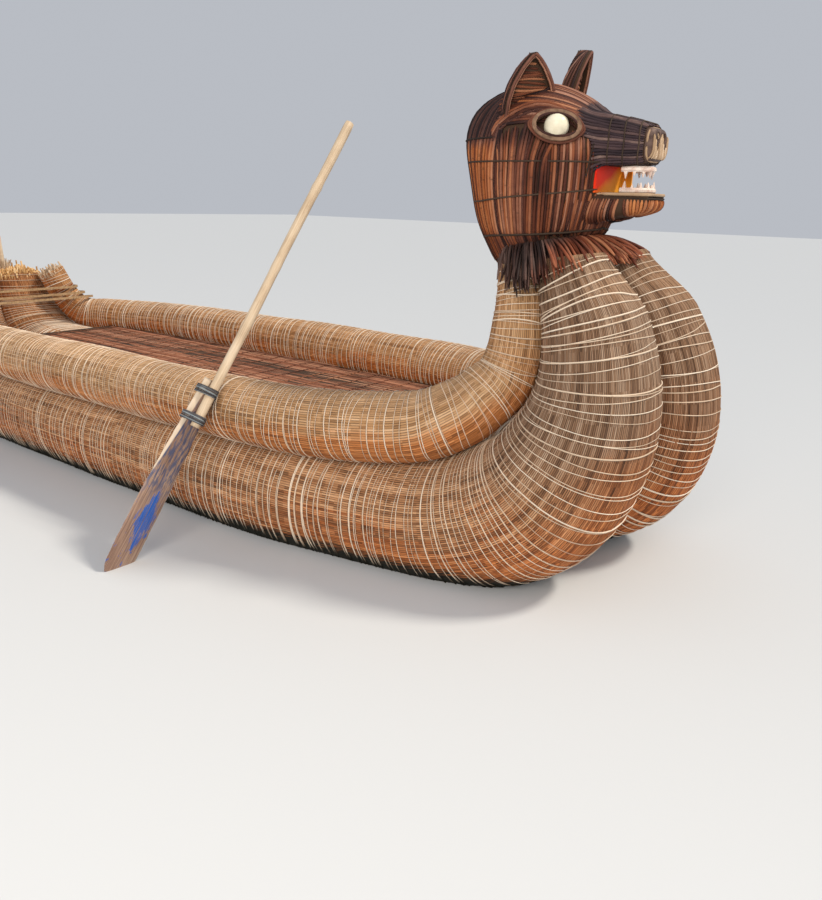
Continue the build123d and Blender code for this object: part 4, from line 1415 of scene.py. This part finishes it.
def mouth_paint():
    """orange board, with painted shadow turning it red towards the upper back corner, and yellow towards the
    lower front one
    """
    m = Mat("mouth_paint")
    p = m.place()
    blotch = m.noise(m.place((12, 12, 12)), 1, 4)
    y, z = m.part(p, 1), m.part(p, 2)
    d = m.add(m.mul(m.sub(z, 1.88), 9), m.mul(y, -4.2))
    d = m.add(d, m.mul(m.sub(blotch, 0.5), 0.35))
    color = m.ramp(m.add(m.mul(d, 0.5), 0.45),
                   [(0.0, (1.0, 0.46, 0.04)), (0.40, (1.0, 0.30, 0.015)), (0.56, (0.92, 0.04, 0.005)),
                    (1.0, (0.70, 0.01, 0.005))])
    return m.finish(color, blotch, 0.5, 0.3, 0.002)


# painted shade: the solids under the strands are near black
paint(shade_under_mat, "skull", "muzzle", "lower_jaw", "ear_port", "ear_starboard", "inner_ear_port",
      "inner_ear_starboard", "nape_band", "ruff", "deck_mat")
paint(plain_paint("lid_reed", (0.27, 0.165, 0.105), (0.12, 0.07, 0.045), 0.75, 40),
      "eye_rim_port", "eye_rim_starboard")
paint(plain_paint("eye_paint", (0.86, 0.82, 0.66), (0.66, 0.60, 0.44), 0.28, 9, 0.1),
      "eyeball_port", "eyeball_starboard")
paint(mouth_paint(), "mouth_lining")
paint(plain_paint("tooth_paint", (0.86, 0.76, 0.68), (0.62, 0.42, 0.34), 0.5, 30), "upper_gum", "lower_gum")
paint(plain_paint("nose_leather", (0.06, 0.035, 0.03), (0.16, 0.10, 0.08), 0.6, 30), "nose_pad")
paint(plain_paint("stern_cord", (0.46, 0.31, 0.17), (0.26, 0.16, 0.085), 0.8, 60),
      "stern_cord_1", "stern_cord_2", "stern_cord_3")

# stage


def lamp(name, kind, loc, target, energy, size, color=(1, 1, 1)):
    data = bpy.data.lights.new(name, kind)
    data.energy = energy
    data.color = color
    if kind == "AREA":
        data.shape = "DISK"
        data.size = size
    else:
        data.angle = size
    ob = bpy.data.objects.new(name, data)
    scene.collection.objects.link(ob)
    ob.location = loc
    ob.rotation_euler = (Vector(target) - Vector(loc)).to_track_quat("-Z", "Y").to_euler()


FLOOR = 60                              # metres from the middle to its sides
floor = bpy.data.meshes.new("water_level_floor")
corners = [(x * FLOOR, y * FLOOR, 0) for x, y in ((-1, -1), (1, -1), (1, 1), (-1, 1))]
floor.from_pydata(corners, [], [(0, 1, 2, 3)])
floor_ob = bpy.data.objects.new("water_level_floor", floor)
scene.collection.objects.link(floor_ob)
fm = Mat("pale_floor")
fm.bsdf.inputs["Base Color"].default_value = (0.60, 0.63, 0.66, 1)
fm.bsdf.inputs["Roughness"].default_value = 0.9
floor.materials.append(fm.mat)

world = bpy.data.worlds.new("studio")
scene.world = world
world.use_nodes = True
bg = world.node_tree.nodes["Background"]
bg.inputs["Color"].default_value = (0.88, 0.92, 1.0, 1)
bg.inputs["Strength"].default_value = 0.55
lamp("key", "SUN", (6, 5, 9), (0, 0, 0), 2.5, math.radians(8), (1.0, 0.90, 0.76))
lamp("fill", "AREA", (6, -9, 5), (0.5, 0, 0.6), 700, 7, (1.0, 0.88, 0.74))
scene.view_settings.view_transform = "Standard"

# camera
EYE = (4.284, -3.57, 1.764)
LOOK_TO, RIGHT, UP = (-0.56733, 0.76671, -0.30050), (0.80386, 0.59482, 0.0), (-0.17874, 0.24156, 0.95378)
ROLL = 0.02915                          # radians
FOCAL_PX, LONG_SIDE_PX = 790, 900
SENSOR = 36                             # millimetres
cam = bpy.data.cameras.new("camera")
cam.sensor_width = SENSOR
cam.sensor_fit = "AUTO"
cam.lens = SENSOR * FOCAL_PX / LONG_SIDE_PX
cam.clip_end = 200
cam_ob = bpy.data.objects.new("camera", cam)
scene.collection.objects.link(cam_ob)
look, right, up = Vector(LOOK_TO), Vector(RIGHT), Vector(UP)
cx = (right * math.cos(ROLL) + up * math.sin(ROLL)).normalized()
cz = -look.normalized()
cy = cz.cross(cx)
m = cam_ob.matrix_world.copy()
for i, v in enumerate((cx, cy, cz)):
    for j in range(3):
        m[j][i] = v[j]
m.translation = Vector(EYE)
cam_ob.matrix_world = m
scene.camera = cam_ob
